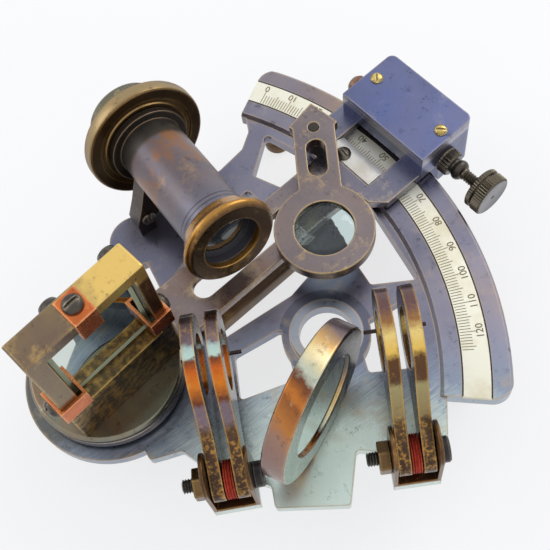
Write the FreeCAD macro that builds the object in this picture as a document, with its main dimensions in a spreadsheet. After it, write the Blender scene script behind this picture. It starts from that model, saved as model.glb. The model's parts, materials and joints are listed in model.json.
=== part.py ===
import FreeCAD, Part
import math
import os
import Sketcher
from FreeCAD import Placement, Rotation, Vector

# A small brass sextant that stands on three feet with its mirrors up. Lengths are millimetres,
# angles are degrees counted from +X towards +Y. The origin is the pivot axis at the floor.
doc = FreeCAD.newDocument("sextant")
sheet = doc.addObject("Spreadsheet::Sheet", "sizes")
nodes = []
settings = []
UP = Vector(0, 0, 1)


class Size:
    """A number that remembers the sheet expression it comes from."""

    def __init__(self, value, text=None):
        self.value = float(value)
        self.text = text or repr(value)

    def join(self, other, sign, turned=False):
        other = other if isinstance(other, Size) else Size(other)
        left, right = (other, self) if turned else (self, other)
        a, b = left.value, right.value
        value = {"+": a + b, "-": a - b, "*": a * b, "/": a / b if b else 0}[sign]
        return Size(value, "(%s %s %s)" % (left.text, sign, right.text))

    def __add__(self, other):
        return self.join(other, "+")

    def __radd__(self, other):
        return self.join(other, "+", True)

    def __sub__(self, other):
        return self.join(other, "-")

    def __rsub__(self, other):
        return self.join(other, "-", True)

    def __mul__(self, other):
        return self.join(other, "*")

    def __rmul__(self, other):
        return self.join(other, "*", True)

    def __truediv__(self, other):
        return self.join(other, "/")

    def __neg__(self):
        return Size(-self.value, "(-1 * %s)" % self.text)

    def __float__(self):
        return self.value

    def cos(self):
        return Size(math.cos(math.radians(self.value)), "cos(%s)" % self.text)

    def sin(self):
        return Size(math.sin(math.radians(self.value)), "sin(%s)" % self.text)


def size(name, value):
    """Writes one driving size into the sheet under its own alias."""
    settings.append(name)
    row = len(settings)
    sheet.set("A%d" % row, name)
    sheet.set("B%d" % row, str(value))
    sheet.setAlias("B%d" % row, name)
    sheet.recompute()
    return Size(value, "sizes." + name)


def angle(name, value):
    """A driving angle in degrees, as size() makes a length."""
    made = size(name, value)
    return Size(made.value, made.text + " * 1 deg")


def polar(radius, degrees):
    """The point at a radius and an angle about the pivot."""
    return radius * degrees.cos(), radius * degrees.sin()


def number(value):
    return value if isinstance(value, Size) else Size(value)


def follow(thing, prop, value):
    """Sets a property and keeps it on the sheet."""
    value = number(value)
    if value.text != repr(value.value):
        thing.setExpression(prop, value.text)
    return value.value


def put(thing, x=0, y=0, z=0, turn=None):
    """Places a thing. Its turn is a Rotation; its place follows the sheet."""
    thing.Placement = Placement(Vector(float(x), float(y), float(z)), turn or Rotation())
    for axis, value in zip("xyz", (x, y, z)):
        if isinstance(value, Size):
            thing.setExpression("Placement.Base." + axis, value.text)
    return thing


def box(name, length, width, height, x=0, y=0, z=0):
    """A block whose lowest corner is at x, y, z."""
    made = doc.addObject("Part::Box", name)
    for prop, value in (("Length", length), ("Width", width), ("Height", height)):
        setattr(made, prop, float(value))
        follow(made, prop, value)
    return put(made, x, y, z)


def rod(name, radius, height, x=0, y=0, z=0, turn=None):
    """A round bar that starts at x, y, z."""
    made = doc.addObject("Part::Cylinder", name)
    for prop, value in (("Radius", radius), ("Height", height)):
        setattr(made, prop, float(value))
        follow(made, prop, value)
    return put(made, x, y, z, turn)


def join(name, pieces):
    made = doc.addObject("Part::MultiFuse", name)
    made.Shapes = pieces
    return made


def cut(name, base, tools):
    """The base less its tools."""
    made = doc.addObject("Part::Cut", name)
    made.Base = base
    made.Tool = tools[0] if len(tools) == 1 else join(name + "_tools", tools)
    return made


def group(name, pieces):
    """Loose copies of one piece, kept in one node."""
    made = doc.addObject("Part::Compound", name)
    made.Links = pieces
    return made


def locate(sketch, geometry, point, x, y):
    """Ties one sketch point to its two coordinates."""
    for kind, value, axis in (("DistanceX", number(x), -2), ("DistanceY", number(y), -1)):
        if value.value == 0:
            sketch.addConstraint(Sketcher.Constraint("PointOnObject", geometry, point, axis))
            continue
        ends = (-1, 1, geometry, point) if value.value > 0 else (geometry, point, -1, 1)
        value = value if value.value > 0 else -value
        row = sketch.addConstraint(Sketcher.Constraint(kind, *ends, value.value))
        sketch.setExpression("Constraints[%d]" % row, value.text)


def outline(sketch, points):
    """A closed outline of straight lines through the points."""
    places = [Vector(float(x), float(y), 0) for x, y in points]
    first = sketch.GeometryCount
    for here, there in zip(places, places[1:] + places[:1]):
        sketch.addGeometry(Part.LineSegment(here, there), False)
    for step, (x, y) in enumerate(points):
        before = first + (step - 1) % len(points)
        sketch.addConstraint(Sketcher.Constraint("Coincident", before, 2, first + step, 1))
        locate(sketch, first + step, 1, x, y)


def ring(sketch, x, y, radius):
    """A circle in a sketch."""
    middle = Vector(float(x), float(y), 0)
    row = sketch.addGeometry(Part.Circle(middle, UP, float(radius)), False)
    locate(sketch, row, 3, x, y)
    held = sketch.addConstraint(Sketcher.Constraint("Radius", row, float(radius)))
    sketch.setExpression("Constraints[%d]" % held, number(radius).text)


def sketch_in(body, name, role):
    """A sketch on one of the body's own planes."""
    sketch = body.newObject("Sketcher::SketchObject", name)
    plane = [item for item in body.Origin.OriginFeatures if item.Role == role][0]
    sketch.AttachmentSupport = (plane, [""])
    sketch.MapMode = "FlatFace"
    return sketch


def turned(name, points, sweep=None):
    """A turned piece: its (radius, height) profile revolved about its own Z axis."""
    body = doc.addObject("PartDesign::Body", name)
    sketch = sketch_in(body, name + "_profile", "XZ_Plane")
    outline(sketch, points)
    spin = body.newObject("PartDesign::Revolution", name + "_turn")
    spin.Profile = sketch
    spin.ReferenceAxis = (sketch, ["V_Axis"])
    if sweep is None:
        spin.Angle = 360
    else:
        spin.Angle = float(sweep)
        spin.setExpression("Angle", sweep.text)
    body.Tip = spin
    return body


def plate(name, outlines, height, rings=(), role="XY_Plane", midplane=False):
    """A flat piece: outlines and rings padded by its height."""
    body = doc.addObject("PartDesign::Body", name)
    sketch = sketch_in(body, name + "_outline", role)
    for points in outlines:
        outline(sketch, points)
    for x, y, radius in rings:
        ring(sketch, x, y, radius)
    pad = body.newObject("PartDesign::Pad", name + "_pad")
    pad.Profile = sketch
    pad.Midplane = midplane
    pad.Length = float(height)
    follow(pad, "Length", height)
    body.Tip = pad
    return body


def soften(body, radius, wanted, kind="Fillet"):
    """Rounds or bevels the edges of a body that wanted() picks."""
    base = body.Tip
    doc.recompute([base])
    edges = ["Edge%d" % (row + 1) for row, edge in enumerate(base.Shape.Edges) if wanted(edge)]
    made = body.newObject("PartDesign::" + kind, body.Name + "_" + kind.lower())
    made.Base = (base, edges)
    prop = "Radius" if kind == "Fillet" else "Size"
    setattr(made, prop, float(radius))
    follow(made, prop, radius)
    body.Tip = made
    return body


def upright(edge):
    """Whether an edge runs along Z."""
    ends = [vertex.Point for vertex in edge.Vertexes]
    flat = len(ends) == 2 and math.hypot(ends[1].x - ends[0].x, ends[1].y - ends[0].y)
    return len(ends) == 2 and flat < 1e-6


def slot_tool(name, start, end, width, height, z=0):
    """A slot with round ends along X, as a tool."""
    run = box(name + "_run", end - start - width, width, height, start + width / 2, -width / 2, z)
    ends = [rod(name + mark, width / 2, height, place, 0, z)
            for mark, place in (("_near", start + width / 2), ("_far", end - width / 2))]
    return join(name, [run] + ends)


def node(name, made, x=0, y=0, z=0, turn=None):
    """Gives a finished sub-part its label and its place."""
    put(made, x, y, z, turn)
    made.Label = name
    nodes.append(made)
    return made


def about_z(degrees):
    return Rotation(UP, float(degrees))


def along(direction):
    """The turn that lays a piece's own Z axis along a direction."""
    return Rotation(UP, direction)


# Heights count from the top face of the limb. The stand height lifts the whole instrument.
stand_height = size("stand_height", 16)
limb_thick = size("limb_thick", 3.5)
top = stand_height + limb_thick
overrun = size("overrun", 1)
run_gap = size("run_gap", 0.05)
side_gap = size("side_gap", 0.1)

# Limb: the arc that carries the scale, revolved from its section, with a groove for the inlay.
limb_radius = size("limb_radius", 80)
limb_width = size("limb_width", 14)
limb_start = angle("limb_start", 49.1)
limb_sweep = angle("limb_sweep", 73.3)
limb_bevel = size("limb_bevel", 0.6)
limb_corner_share = 0.28
inlay_margin = size("inlay_margin", 4.2)
inlay_inset = size("inlay_inset", 4.2)
inlay_thick = size("inlay_thick", 0.8)
limb_inner = limb_radius - limb_width
limb_middle = limb_radius - limb_width / 2
inlay_outer = limb_radius - inlay_margin
inlay_inner = limb_inner + inlay_inset
limb = turned("limb", [
    (limb_inner, -limb_thick),
    (limb_radius, -limb_thick),
    (limb_radius, -limb_bevel),
    (limb_radius - limb_bevel, 0),
    (inlay_outer, 0),
    (inlay_outer, -inlay_thick),
    (inlay_inner, -inlay_thick),
    (inlay_inner, 0),
    (limb_inner + limb_bevel, 0),
    (limb_inner, -limb_bevel),
], limb_sweep)
soften(limb, limb_width * limb_corner_share, lambda edge: upright(edge) and
       math.hypot(edge.Vertexes[0].X, edge.Vertexes[0].Y) > float(limb_radius) - 1e-3)
put(limb, turn=about_z(limb_start))

# Web: the flat part of the frame, a little below the limb. Each corner is an angle about the
# pivot and a share of what it belongs to: the limb, a shade station, the hub or the ear.
web_drop = size("web_drop", 0.8)
web_corner = size("web_corner", 0.8)
hub_radius = size("hub_radius", 18)
index_station_radius = size("index_station_radius", 34.81)
horizon_station_radius = size("horizon_station_radius", 62.85)
ring_station_radius = size("ring_station_radius", 43.35)
index_station_turn = angle("index_station_turn", 12.36)
horizon_station_turn = angle("horizon_station_turn", 36.91)
ring_station_turn = angle("ring_station_turn", 38.9)
ear_station_radius = size("ear_station_radius", 30.5)
ear_turn = angle("ear_turn", 139)
limb_side_shares = (
    (0.781, 121), (0.881, 118.8), (0.952, 119.5), (0.994, 121.2),
)
tab_side_shares = (
    (1.1, 38.7), (0.825, 36), (0.876, 25), (0.692, 15.2), (0.641, 19.2), (0.44, 10),
)
hub_side_shares = (
    (1.24, 7.8), (1.167, -0.7), (1.12, -8.8), (0.667, -12), (0.667, 115), (1.133, 118.6),
)
ear_side_shares = ((0.871, 134), (1.128, 139))
limb_end_share = (1.018, 51)
opening_shares = {
    "left_window": ((0.808, 112.9), (0.967, 116), (0.966, 107), (0.887, 104.6), (0.824, 104.6)),
    "arm_window": ((0.752, 112), (0.752, 84), (0.606, 78.5), (0.327, 70), (0.327, 116), (0.467, 116)),
    "lower_window": ((0.382, 62.3), (0.54, 69.1), (0.568, 51.2), (0.411, 41.3)),
    "limb_window": ((0.842, 93), (0.992, 93), (0.992, 71.5), (0.848, 73.5)),
    "right_window": ((0.764, 64.5), (0.939, 68.5), (0.939, 54.5), (0.788, 53.5)),
}
under_limb_turns = (121.2, 104, 86, 69, 54)


def corners(shares, reach=limb_inner):
    """Turns (share, angle) pairs into points that follow a reach from the pivot."""
    return [polar(reach * share, Size(turn, "%s * 1 deg" % turn)) for share, turn in shares]


under_limb = [polar(limb_middle, Size(turn, "%s * 1 deg" % turn)) for turn in under_limb_turns]
web_edge = (
    corners(limb_side_shares) + under_limb + corners((limb_end_share,)) +
    corners(tab_side_shares, horizon_station_radius) + corners(hub_side_shares, hub_radius) +
    corners(ear_side_shares, ear_station_radius)
)
web_thick = limb_thick - web_drop
web = plate("web", [web_edge] + [corners(item) for item in opening_shares.values()], web_thick)
soften(web, web_corner, upright)
put(web, 0, 0, -limb_thick)
hub = rod("hub", hub_radius, web_thick, 0, 0, -limb_thick)

# Hub boss that the arm turns on, and the bore for the pivot stud.
arm_gap = size("arm_gap", 0.5)
boss_radius = size("boss_radius", 8)
stud_radius = size("stud_radius", 3)
boss = rod("hub_boss", boss_radius, limb_thick + arm_gap - side_gap, 0, 0, -limb_thick)
stud_bore = rod("stud_bore", stud_radius, limb_thick + arm_gap + overrun, 0, 0, -limb_thick - overrun / 2)

# Round hole of the web with its pale raised rim.
eye_hole_share = (0.671, 64.6)
eye_place = corners((eye_hole_share,))[0]
eye_radius = size("eye_radius", 5.5)
rim_width = size("rim_width", 1.8)
rim_rise = size("rim_rise", 0.4)
eye_web = rod("eye_web", eye_radius + 2 * rim_width, web_thick, *eye_place, -limb_thick)
eye_rim = rod("eye_rim", eye_radius + rim_width, web_thick + rim_rise, *eye_place, -limb_thick)
eye_hole = rod("eye_hole", eye_radius, limb_thick + overrun, *eye_place, -limb_thick - overrun / 2)

# Shade stations: where each bolt crosses, and the ear under the telescope bracket.
index_shade_turn = angle("index_shade_turn", 64)
horizon_shade_turn = angle("horizon_shade_turn", 62)
bracket_width = size("bracket_width", 9)
bracket_depth = size("bracket_depth", 8.4)
stations = {
    "index": polar(index_station_radius, index_station_turn),
    "horizon": polar(horizon_station_radius, horizon_station_turn),
}
bolt_turns = {"index": index_shade_turn, "horizon": horizon_shade_turn}
lugs = []
for key, (x, y) in stations.items():
    bolt_turned = about_z(bolt_turns[key])
    lug = box(key + "_lug", bracket_width, 2 * bracket_depth, web_thick)
    half = Vector(float(bracket_width) / 2, 0, 0)
    reach = bolt_turned.multVec(half)
    side = bolt_turned.multVec(Vector(0, float(bracket_depth) / 2, 0))
    put(lug, float(x) - reach.x - side.x, float(y) - reach.y - side.y, -float(limb_thick),
        bolt_turned)
    lugs.append(lug)
ear_place = polar(ear_station_radius, ear_turn)
ear_radius = size("ear_radius", 6)
ear = rod("ear", ear_radius, web_thick, *ear_place, -limb_thick)

solid = join("frame_solid", [limb, web, hub, boss, eye_web, eye_rim, ear] + lugs)
node("frame_plate", cut("frame_plate", solid, [stud_bore, eye_hole]), 0, 0, top)

# Scale inlay: the silvered strip in the groove.
inlay = turned("scale_inlay", [
    (inlay_inner, -inlay_thick), (inlay_outer, -inlay_thick), (inlay_outer, 0), (inlay_inner, 0),
], limb_sweep)
node("scale_inlay", inlay, 0, 0, top, about_z(limb_start))

# Feet: three turned legs, one of them on the pivot axis.
foot_top = size("foot_top", 2.4)
foot_waist = size("foot_waist", 1.8)
foot_base = size("foot_base", 3.2)
foot_pad = size("foot_pad", 2)
foot_left = angle("foot_left", 119)
foot_right = angle("foot_right", 57)
foot_places = [(0, 0), polar(limb_middle, foot_left), polar(limb_middle, foot_right)]
feet = [put(turned("foot_%d" % (row + 1), [
    (0, 0), (foot_base, 0), (foot_base, foot_pad), (foot_waist, foot_pad * 2),
    (foot_waist, stand_height - foot_pad), (foot_top, stand_height), (0, stand_height),
]), x, y) for row, (x, y) in enumerate(foot_places)]
node("feet", group("feet", feet))

# Handle at the back: a rounded bar on two posts, along the line of the arm.
handle_turn = angle("handle_turn", 97)
handle_near_radius = size("handle_near_radius", 13)
handle_far_share = 0.794
handle_far = limb_inner * handle_far_share
handle_near = handle_near_radius
handle_post = size("handle_post", 2)
handle_gap = size("handle_gap", 7.5)
grip_wide = size("grip_wide", 7)
grip_thick = size("grip_thick", 4.5)
grip_over = size("grip_over", 4)
posts = [rod("handle_post_%d" % (row + 1), handle_post, handle_gap, *polar(place, handle_turn),
             -limb_thick - handle_gap) for row, place in enumerate((handle_near, handle_far))]
node("handle_posts", group("handle_posts", posts), 0, 0, top)
grip = plate("handle_grip", [[
    (handle_near - grip_over, -grip_wide / 2), (handle_far + grip_over, -grip_wide / 2),
    (handle_far + grip_over, grip_wide / 2), (handle_near - grip_over, grip_wide / 2),
]], grip_thick)
soften(grip, grip_wide / 2 * 0.9, upright)
node("handle_grip", grip, 0, 0, top - limb_thick - handle_gap - grip_thick, about_z(handle_turn))

# Index arm: hub, two rails with a long slot, and a window end with a ledge for the vernier.
# The pieces that swing with it are modelled with X along the arm.
arm_turn = angle("arm_turn", 97)
arm_thick = size("arm_thick", 2.3)
disc_radius = size("disc_radius", 15.6)
rail_half = size("rail_half", 6.5)
slot_width = size("slot_width", 5)
slot_start = size("slot_start", 23)
slot_margin = size("slot_margin", 2)
end_inset = size("end_inset", 3)
end_half = size("end_half", 12.5)
end_bevel = size("end_bevel", 3)
end_over = size("end_over", 0.4)
window_half = size("window_half", 6.5)
window_border = size("window_border", 3)
window_margin = size("window_margin", 2)
ledge = size("ledge", 3)
ledge_thick = size("ledge_thick", 1.1)
end_start = limb_inner - end_inset
end_outer = limb_radius + end_over
slot_end = end_start - slot_margin
window_start = end_start + window_border
window_end = limb_radius - window_margin
arm_turned = about_z(arm_turn)
arm_plate = plate("arm_plate", [[
    (0, -rail_half), (end_start, -rail_half), (end_start, -end_half + end_bevel),
    (end_start + end_bevel, -end_half), (end_outer, -end_half), (end_outer, end_half),
    (end_start + end_bevel, end_half), (end_start, end_half - end_bevel), (end_start, rail_half),
    (0, rail_half),
]], arm_thick)
arm_hub = rod("arm_hub", disc_radius, arm_thick)
arm_bore = rod("arm_bore", stud_radius + run_gap, arm_thick + overrun, 0, 0, -overrun / 2)
arm_slot = slot_tool("arm_slot", slot_start, slot_end, slot_width, arm_thick + overrun, -overrun / 2)
window_tool = box("window_tool", window_end - window_start - ledge, 2 * window_half,
                  arm_thick + overrun, window_start + ledge, -window_half, -overrun / 2)
ledge_tool = box("ledge_tool", ledge + overrun, 2 * window_half, arm_thick,
                 window_start, -window_half, ledge_thick)
arm = cut("index_arm", join("arm_solid", [arm_plate, arm_hub]),
          [arm_bore, arm_slot, window_tool, ledge_tool])
node("index_arm", arm, 0, 0, top + arm_gap, arm_turned)
arm_top = arm_gap + arm_thick

# Pivot stud: its head sits between the arm and the disc.
head_radius = size("head_radius", 5)
head_thick = size("head_thick", 1)
stud = turned("pivot_stud", [
    (0, -limb_thick), (stud_radius, -limb_thick), (stud_radius, arm_top + side_gap),
    (head_radius, arm_top + side_gap), (head_radius, arm_top + side_gap + head_thick),
    (0, arm_top + side_gap + head_thick),
])
node("pivot_stud", stud, 0, 0, top)

# Index disc: the round table that carries the index mirror, hollow over the stud's head.
disc_thick = size("disc_thick", 2)
disc_bevel = size("disc_bevel", 0.5)
head_room = head_thick + 2 * side_gap
disc = turned("index_disc", [
    (0, head_room), (head_radius + 2 * side_gap, head_room), (head_radius + 2 * side_gap, 0),
    (disc_radius, 0), (disc_radius, disc_thick - disc_bevel), (disc_radius - disc_bevel, disc_thick),
    (0, disc_thick),
])
node("index_disc", disc, 0, 0, top + arm_top, arm_turned)
disc_top = arm_top + disc_thick

# Index mirror: a deep box frame that stands on the disc. Its own X is across the glass, and -Y
# is the way that the glass faces.
mirror_turn = angle("mirror_turn", 100.2)
mirror_front = size("mirror_front", 8.8)
mirror_side = size("mirror_side", 0.6)
mirror_width = size("mirror_width", 25.6)
mirror_depth = size("mirror_depth", 6.3)
mirror_height = size("mirror_height", 37.4)
mirror_wall_left = size("mirror_wall_left", 3.8)
mirror_wall_right = size("mirror_wall_right", 2.6)
mirror_head = size("mirror_head", 3.2)
mirror_sill = size("mirror_sill", 11.9)
mirror_back = size("mirror_back", 1.5)
pane_thick = size("pane_thick", 1.8)
mirror_bevel = size("mirror_bevel", 0.4)
mirror_turned = about_z(mirror_turn)


def on_mirror(x, y, z):
    """A point of the mirror's own frame in the frame of the whole instrument."""
    turned_point = mirror_turned.multVec(Vector(float(x), float(y), 0))
    return turned_point.x, turned_point.y, float(top + disc_top) + float(z)


def mirror_node(name, made, x, y, z, turn=None):
    """Places a piece of the mirror by its own frame."""
    own = turn or Rotation()
    return node(name, made, *on_mirror(x, y, z), mirror_turned.multiply(own))


case = plate("mirror_case", [[
    (-mirror_width / 2, -mirror_front), (mirror_width / 2, -mirror_front),
    (mirror_width / 2, -mirror_front + mirror_depth), (-mirror_width / 2, -mirror_front + mirror_depth),
]], mirror_height)
soften(case, mirror_bevel, lambda edge: edge.Vertexes[0].Z > float(mirror_height) - 1e-3 and
       edge.Vertexes[-1].Z > float(mirror_height) - 1e-3, "Chamfer")
pane_width = mirror_width - mirror_wall_left - mirror_wall_right
pane_left = -mirror_width / 2 + mirror_wall_left
pane_height = mirror_height - mirror_head - mirror_sill
pane_room = box("pane_room", pane_width, mirror_depth - mirror_back + overrun, pane_height,
                pane_left, -mirror_front - overrun, mirror_sill)
mirror_node("index_mirror_frame", cut("index_mirror_frame", case, [pane_room]), mirror_side, 0, 0)
pane_y = -mirror_front + mirror_depth - mirror_back - pane_thick
pane = box("index_mirror_glass", pane_width - side_gap, pane_thick, pane_height - side_gap)
mirror_node("index_mirror_glass", pane, mirror_side + pane_left + side_gap / 2, pane_y,
            mirror_sill + side_gap / 2)

# Mirror clips: three bent copper strips, each over one wall and back against the glass.
clip_thick = size("clip_thick", 0.7)
clip_wide = size("clip_wide", 4.6)
clip_tail = size("clip_tail", 5.4)
clip_left_rise = size("clip_left_rise", 2.6)
clip_right_rise = size("clip_right_rise", 4.2)
clip_left = mirror_sill + clip_left_rise
clip_right = mirror_sill + clip_right_rise
clip_drop = size("clip_drop", 1)


def clip(name, wall):
    """A strip whose section is an outer leg, a front leg over the wall and a leg to the glass."""
    front = -mirror_front - clip_thick
    glass = -mirror_front + mirror_depth - mirror_back - pane_thick
    inner = wall + clip_drop
    return plate(name, [[
        (-mirror_front + clip_tail, 0), (-mirror_front + clip_tail, clip_thick),
        (front, clip_thick), (front, -inner - clip_thick), (glass, -inner - clip_thick),
        (glass, -inner), (-mirror_front, -inner), (-mirror_front, 0),
    ]], clip_wide, role="YZ_Plane", midplane=True)


side_left = Rotation(Vector(0, 1, 0), -90)
side_right = Rotation(Vector(0, 1, 0), 90)
mirror_node("mirror_clip_top", clip("mirror_clip_top", mirror_head), mirror_side, 0, mirror_height)
mirror_node("mirror_clip_left", clip("mirror_clip_left", mirror_wall_left),
            mirror_side - mirror_width / 2, 0, clip_left, side_left)
mirror_node("mirror_clip_right", clip("mirror_clip_right", mirror_wall_right),
            mirror_side + mirror_width / 2, 0, clip_right, side_right)


def dome_screw(name, radius, rise, slot, x=0, y=0, z=0, turn=None):
    """A domed slotted screw head that sits on the plane through its place."""
    dome = turned(name + "_dome", [
        (0, 0), (radius, 0), (radius, rise * 0.3), (radius * 0.8, rise * 0.75), (radius * 0.4, rise),
        (0, rise),
    ])
    groove = box(name + "_groove", 2 * radius, slot, rise, -radius, -slot / 2, rise * 0.6)
    return put(cut(name, dome, [groove]), x, y, z, turn)


clip_head = size("clip_head", 1.9)
clip_rise = size("clip_rise", 1.3)
groove_wide = size("groove_wide", 0.5)
head_y = -mirror_front + clip_tail / 2
clip_places = (
    ("clip_screw_top", (mirror_side, head_y, mirror_height + clip_thick), Rotation()),
    ("clip_screw_left", (mirror_side - mirror_width / 2 - clip_thick, head_y, clip_left), side_left),
    ("clip_screw_right", (mirror_side + mirror_width / 2 + clip_thick, head_y, clip_right), side_right),
)
heads = []
for name, spot, own in clip_places:
    spot = on_mirror(*spot)
    heads.append(dome_screw(name, clip_head, clip_rise, groove_wide, *spot, mirror_turned.multiply(own)))
node("mirror_clip_screws", group("mirror_clip_screws", heads))

# Adjusting screws: two domes on the back of the mirror frame.
adjust_head = size("adjust_head", 2.3)
adjust_rise = size("adjust_rise", 2.2)
adjust_pitch = size("adjust_pitch", 13)
adjust_shift = size("adjust_shift", 3.8)
adjust_drop = size("adjust_drop", 3.2)
backward = Rotation(Vector(1, 0, 0), -90)
domes = []
for name, side in (("adjust_left", -1), ("adjust_right", 1)):
    spot = on_mirror(mirror_side + adjust_shift + side * adjust_pitch / 2,
                     mirror_depth - mirror_front, mirror_height - adjust_drop)
    domes.append(dome_screw(name, adjust_head, adjust_rise, groove_wide, *spot,
                            mirror_turned.multiply(backward)))
node("mirror_adjust_screws", group("mirror_adjust_screws", domes))


def on_arm(x, y):
    """A point of the arm's own frame, about the pivot of the whole instrument."""
    turned_point = arm_turned.multVec(Vector(float(x), float(y), 0))
    return turned_point.x, turned_point.y


# Vernier plate: a silvered plate on the ledge, with a bevelled edge over the scale.
vernier_over = size("vernier_over", 2)
vernier_screw_x = size("vernier_screw_x", 1.6)
vernier_screw_y = size("vernier_screw_y", 2.9)
vernier_head = size("vernier_head", 1.7)
vernier_rise = size("vernier_rise", 0.8)
vernier_thick = arm_thick - ledge_thick
vernier = plate("vernier_plate", [[
    (window_start + run_gap, ledge_thick), (window_start + ledge, ledge_thick),
    (window_start + ledge + vernier_over, ledge_thick),
    (window_start + ledge + vernier_over, ledge_thick + vernier_thick / 4),
    (window_start + ledge, arm_thick), (window_start + run_gap, arm_thick),
]], 2 * window_half - side_gap, role="XZ_Plane", midplane=True)
node("vernier_plate", vernier, 0, 0, top + arm_gap, arm_turned)
node("vernier_screw", dome_screw("vernier_screw", vernier_head, vernier_rise, groove_wide),
     *on_arm(window_start + vernier_screw_x, vernier_screw_y), top + arm_top)

# Clamp block: sits on the arm's end and hangs down outside the limb. It has a cover plate.
block_over = size("block_over", 4.7)
block_out = size("block_out", 10.3)
block_left = size("block_left", 11)
block_right = size("block_right", 13)
block_rise = size("block_rise", 5.5)
block_hang = size("block_hang", 5)
skirt_gap = size("skirt_gap", 0.8)
block_corner = size("block_corner", 1.6)
cover_thick = size("cover_thick", 1)
screw_inset = size("screw_inset", 2)
screw_height = size("screw_height", 1.5)
screw_radius = size("screw_radius", 1.3)
block_start = limb_radius - block_over
block_end = limb_radius + block_out
skirt_start = limb_radius + skirt_gap
screw_line = skirt_start + screw_inset


def block_plate(name, start, height):
    """A block across the arm with its outer upright edges rounded."""
    made = plate(name, [[
        (start, -block_right), (block_end, -block_right), (block_end, block_left), (start, block_left),
    ]], height)
    return soften(made, block_corner, lambda edge: upright(edge) and
                  edge.Vertexes[0].X > float(block_end) - 1e-3)


head_block = put(block_plate("block_head", block_start, block_rise), 0, 0, arm_top)
skirt = put(block_plate("block_skirt", skirt_start, block_hang + arm_top), 0, 0, -block_hang)
across = Rotation(Vector(1, 0, 0), -90)
screw_bore = rod("screw_bore", screw_radius + run_gap, block_left + block_right + overrun,
                 screw_line, -block_right - overrun / 2, screw_height, across)
block = cut("clamp_block", join("block_solid", [head_block, skirt]), [screw_bore])
node("clamp_block", block, 0, 0, top, arm_turned)
node("block_cover", block_plate("block_cover", block_start, cover_thick),
     0, 0, top + arm_top + block_rise, arm_turned)
cover_screw_out = size("cover_screw_out", 3.2)
cover_screw_margin = size("cover_screw_margin", 2.5)
cover_head = size("cover_head", 1.4)
cover_head_rise = size("cover_head_rise", 0.7)
cover_top = arm_top + block_rise + cover_thick
cover_heads = []
for name, side in (("cover_screw_left", 1), ("cover_screw_right", -1)):
    edge_way = block_left if side > 0 else block_right
    spot = on_arm(limb_radius + cover_screw_out, side * (edge_way - cover_screw_margin))
    cover_heads.append(dome_screw(name, cover_head, cover_head_rise, groove_wide, *spot,
                                  float(top + cover_top), about_z(float(arm_turn) + side * 50)))
node("cover_screws", group("cover_screws", cover_heads))

# Tangent screw: a threaded spindle through the block, with a knob of two knurled rims.
collar_radius = size("collar_radius", 2.9)
collar_long = size("collar_long", 2.6)
dome_long = size("dome_long", 3)
dome_radius = size("dome_radius", 2.3)
thread_long = size("thread_long", 3.8)
knob_radius = size("knob_radius", 4.7)
knob_rim = size("knob_rim", 1.7)
knob_groove = size("knob_groove", 0.6)
knob_groove_depth = size("knob_groove_depth", 0.8)
knob_bevel = size("knob_bevel", 0.4)
cap_radius = size("cap_radius", 2.4)
cap_long = size("cap_long", 3)
cap_neck = size("cap_neck", 1.6)
thread_start = block_right + collar_long + dome_long + side_gap
knob_start = thread_start + thread_long
knob_end = knob_start + 2 * knob_rim + knob_groove
spindle_back = -block_left - side_gap - cap_neck - cap_long / 2
profile = [
    (0, spindle_back), (screw_radius, spindle_back),
    (screw_radius, knob_start), (knob_radius - knob_bevel, knob_start),
    (knob_radius, knob_start + knob_bevel), (knob_radius, knob_start + knob_rim),
    (knob_radius - knob_groove_depth, knob_start + knob_rim),
    (knob_radius - knob_groove_depth, knob_start + knob_rim + knob_groove),
    (knob_radius, knob_start + knob_rim + knob_groove), (knob_radius, knob_end - knob_bevel),
    (knob_radius - knob_bevel, knob_end), (0, knob_end),
]
to_right = arm_turned.multiply(Rotation(Vector(1, 0, 0), 90))
screw_axis = (*on_arm(screw_line, 0), float(top + screw_height))
node("tangent_screw", turned("tangent_screw", profile), *screw_axis, to_right)
collar = turned("screw_collar", [
    (screw_radius + run_gap, block_right), (collar_radius, block_right),
    (collar_radius, block_right + collar_long * 0.8), (dome_radius * 0.8, block_right + collar_long),
    (dome_radius, block_right + collar_long + dome_long * 0.35),
    (dome_radius * 0.9, block_right + collar_long + dome_long * 0.75),
    (screw_radius + run_gap, block_right + collar_long + dome_long),
])
node("screw_collar", collar, *screw_axis, to_right)
cap_start = -block_left - side_gap
cap = turned("screw_cap", [
    (screw_radius, cap_start), (screw_radius * 1.2, cap_start),
    (screw_radius * 1.2, cap_start - cap_neck), (cap_radius, cap_start - cap_neck - cap_long * 0.15),
    (cap_radius, cap_start - cap_neck - cap_long * 0.7), (cap_radius * 0.7, cap_start - cap_neck - cap_long),
    (0, cap_start - cap_neck - cap_long), (0, spindle_back), (screw_radius, spindle_back),
])
node("screw_cap", cap, *screw_axis, to_right)

# Magnifier: a flat arm with a lens ring that swings on a post on the arm's end.
post_inset = size("post_inset", 2)
post_x = end_start + post_inset
post_y = size("post_y", 9)
post_foot = size("post_foot", 2.6)
post_pin = size("post_pin", 1.1)
post_rise = size("post_rise", 4)
glass_ring = size("glass_ring", 10.3)
glass_radius = size("glass_radius", 6.1)
reader_thick = size("reader_thick", 2.8)
reader_long = size("reader_long", 24.3)
reader_turn = angle("reader_turn", -127.5)
reader_half = size("reader_half", 4.5)
reader_shoulder = size("reader_shoulder", 5.2)
reader_tip = size("reader_tip", 6.2)
reader_slot = size("reader_slot", 4)
reader_slot_start = size("reader_slot_start", 3.2)
reader_slot_end = size("reader_slot_end", 12)
post = turned("magnifier_post", [
    (0, 0), (post_foot, 0), (post_foot, post_rise - side_gap), (post_pin, post_rise - side_gap),
    (post_pin, post_rise + reader_thick), (0, post_rise + reader_thick),
])
post_place = on_arm(post_x, post_y)
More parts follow.
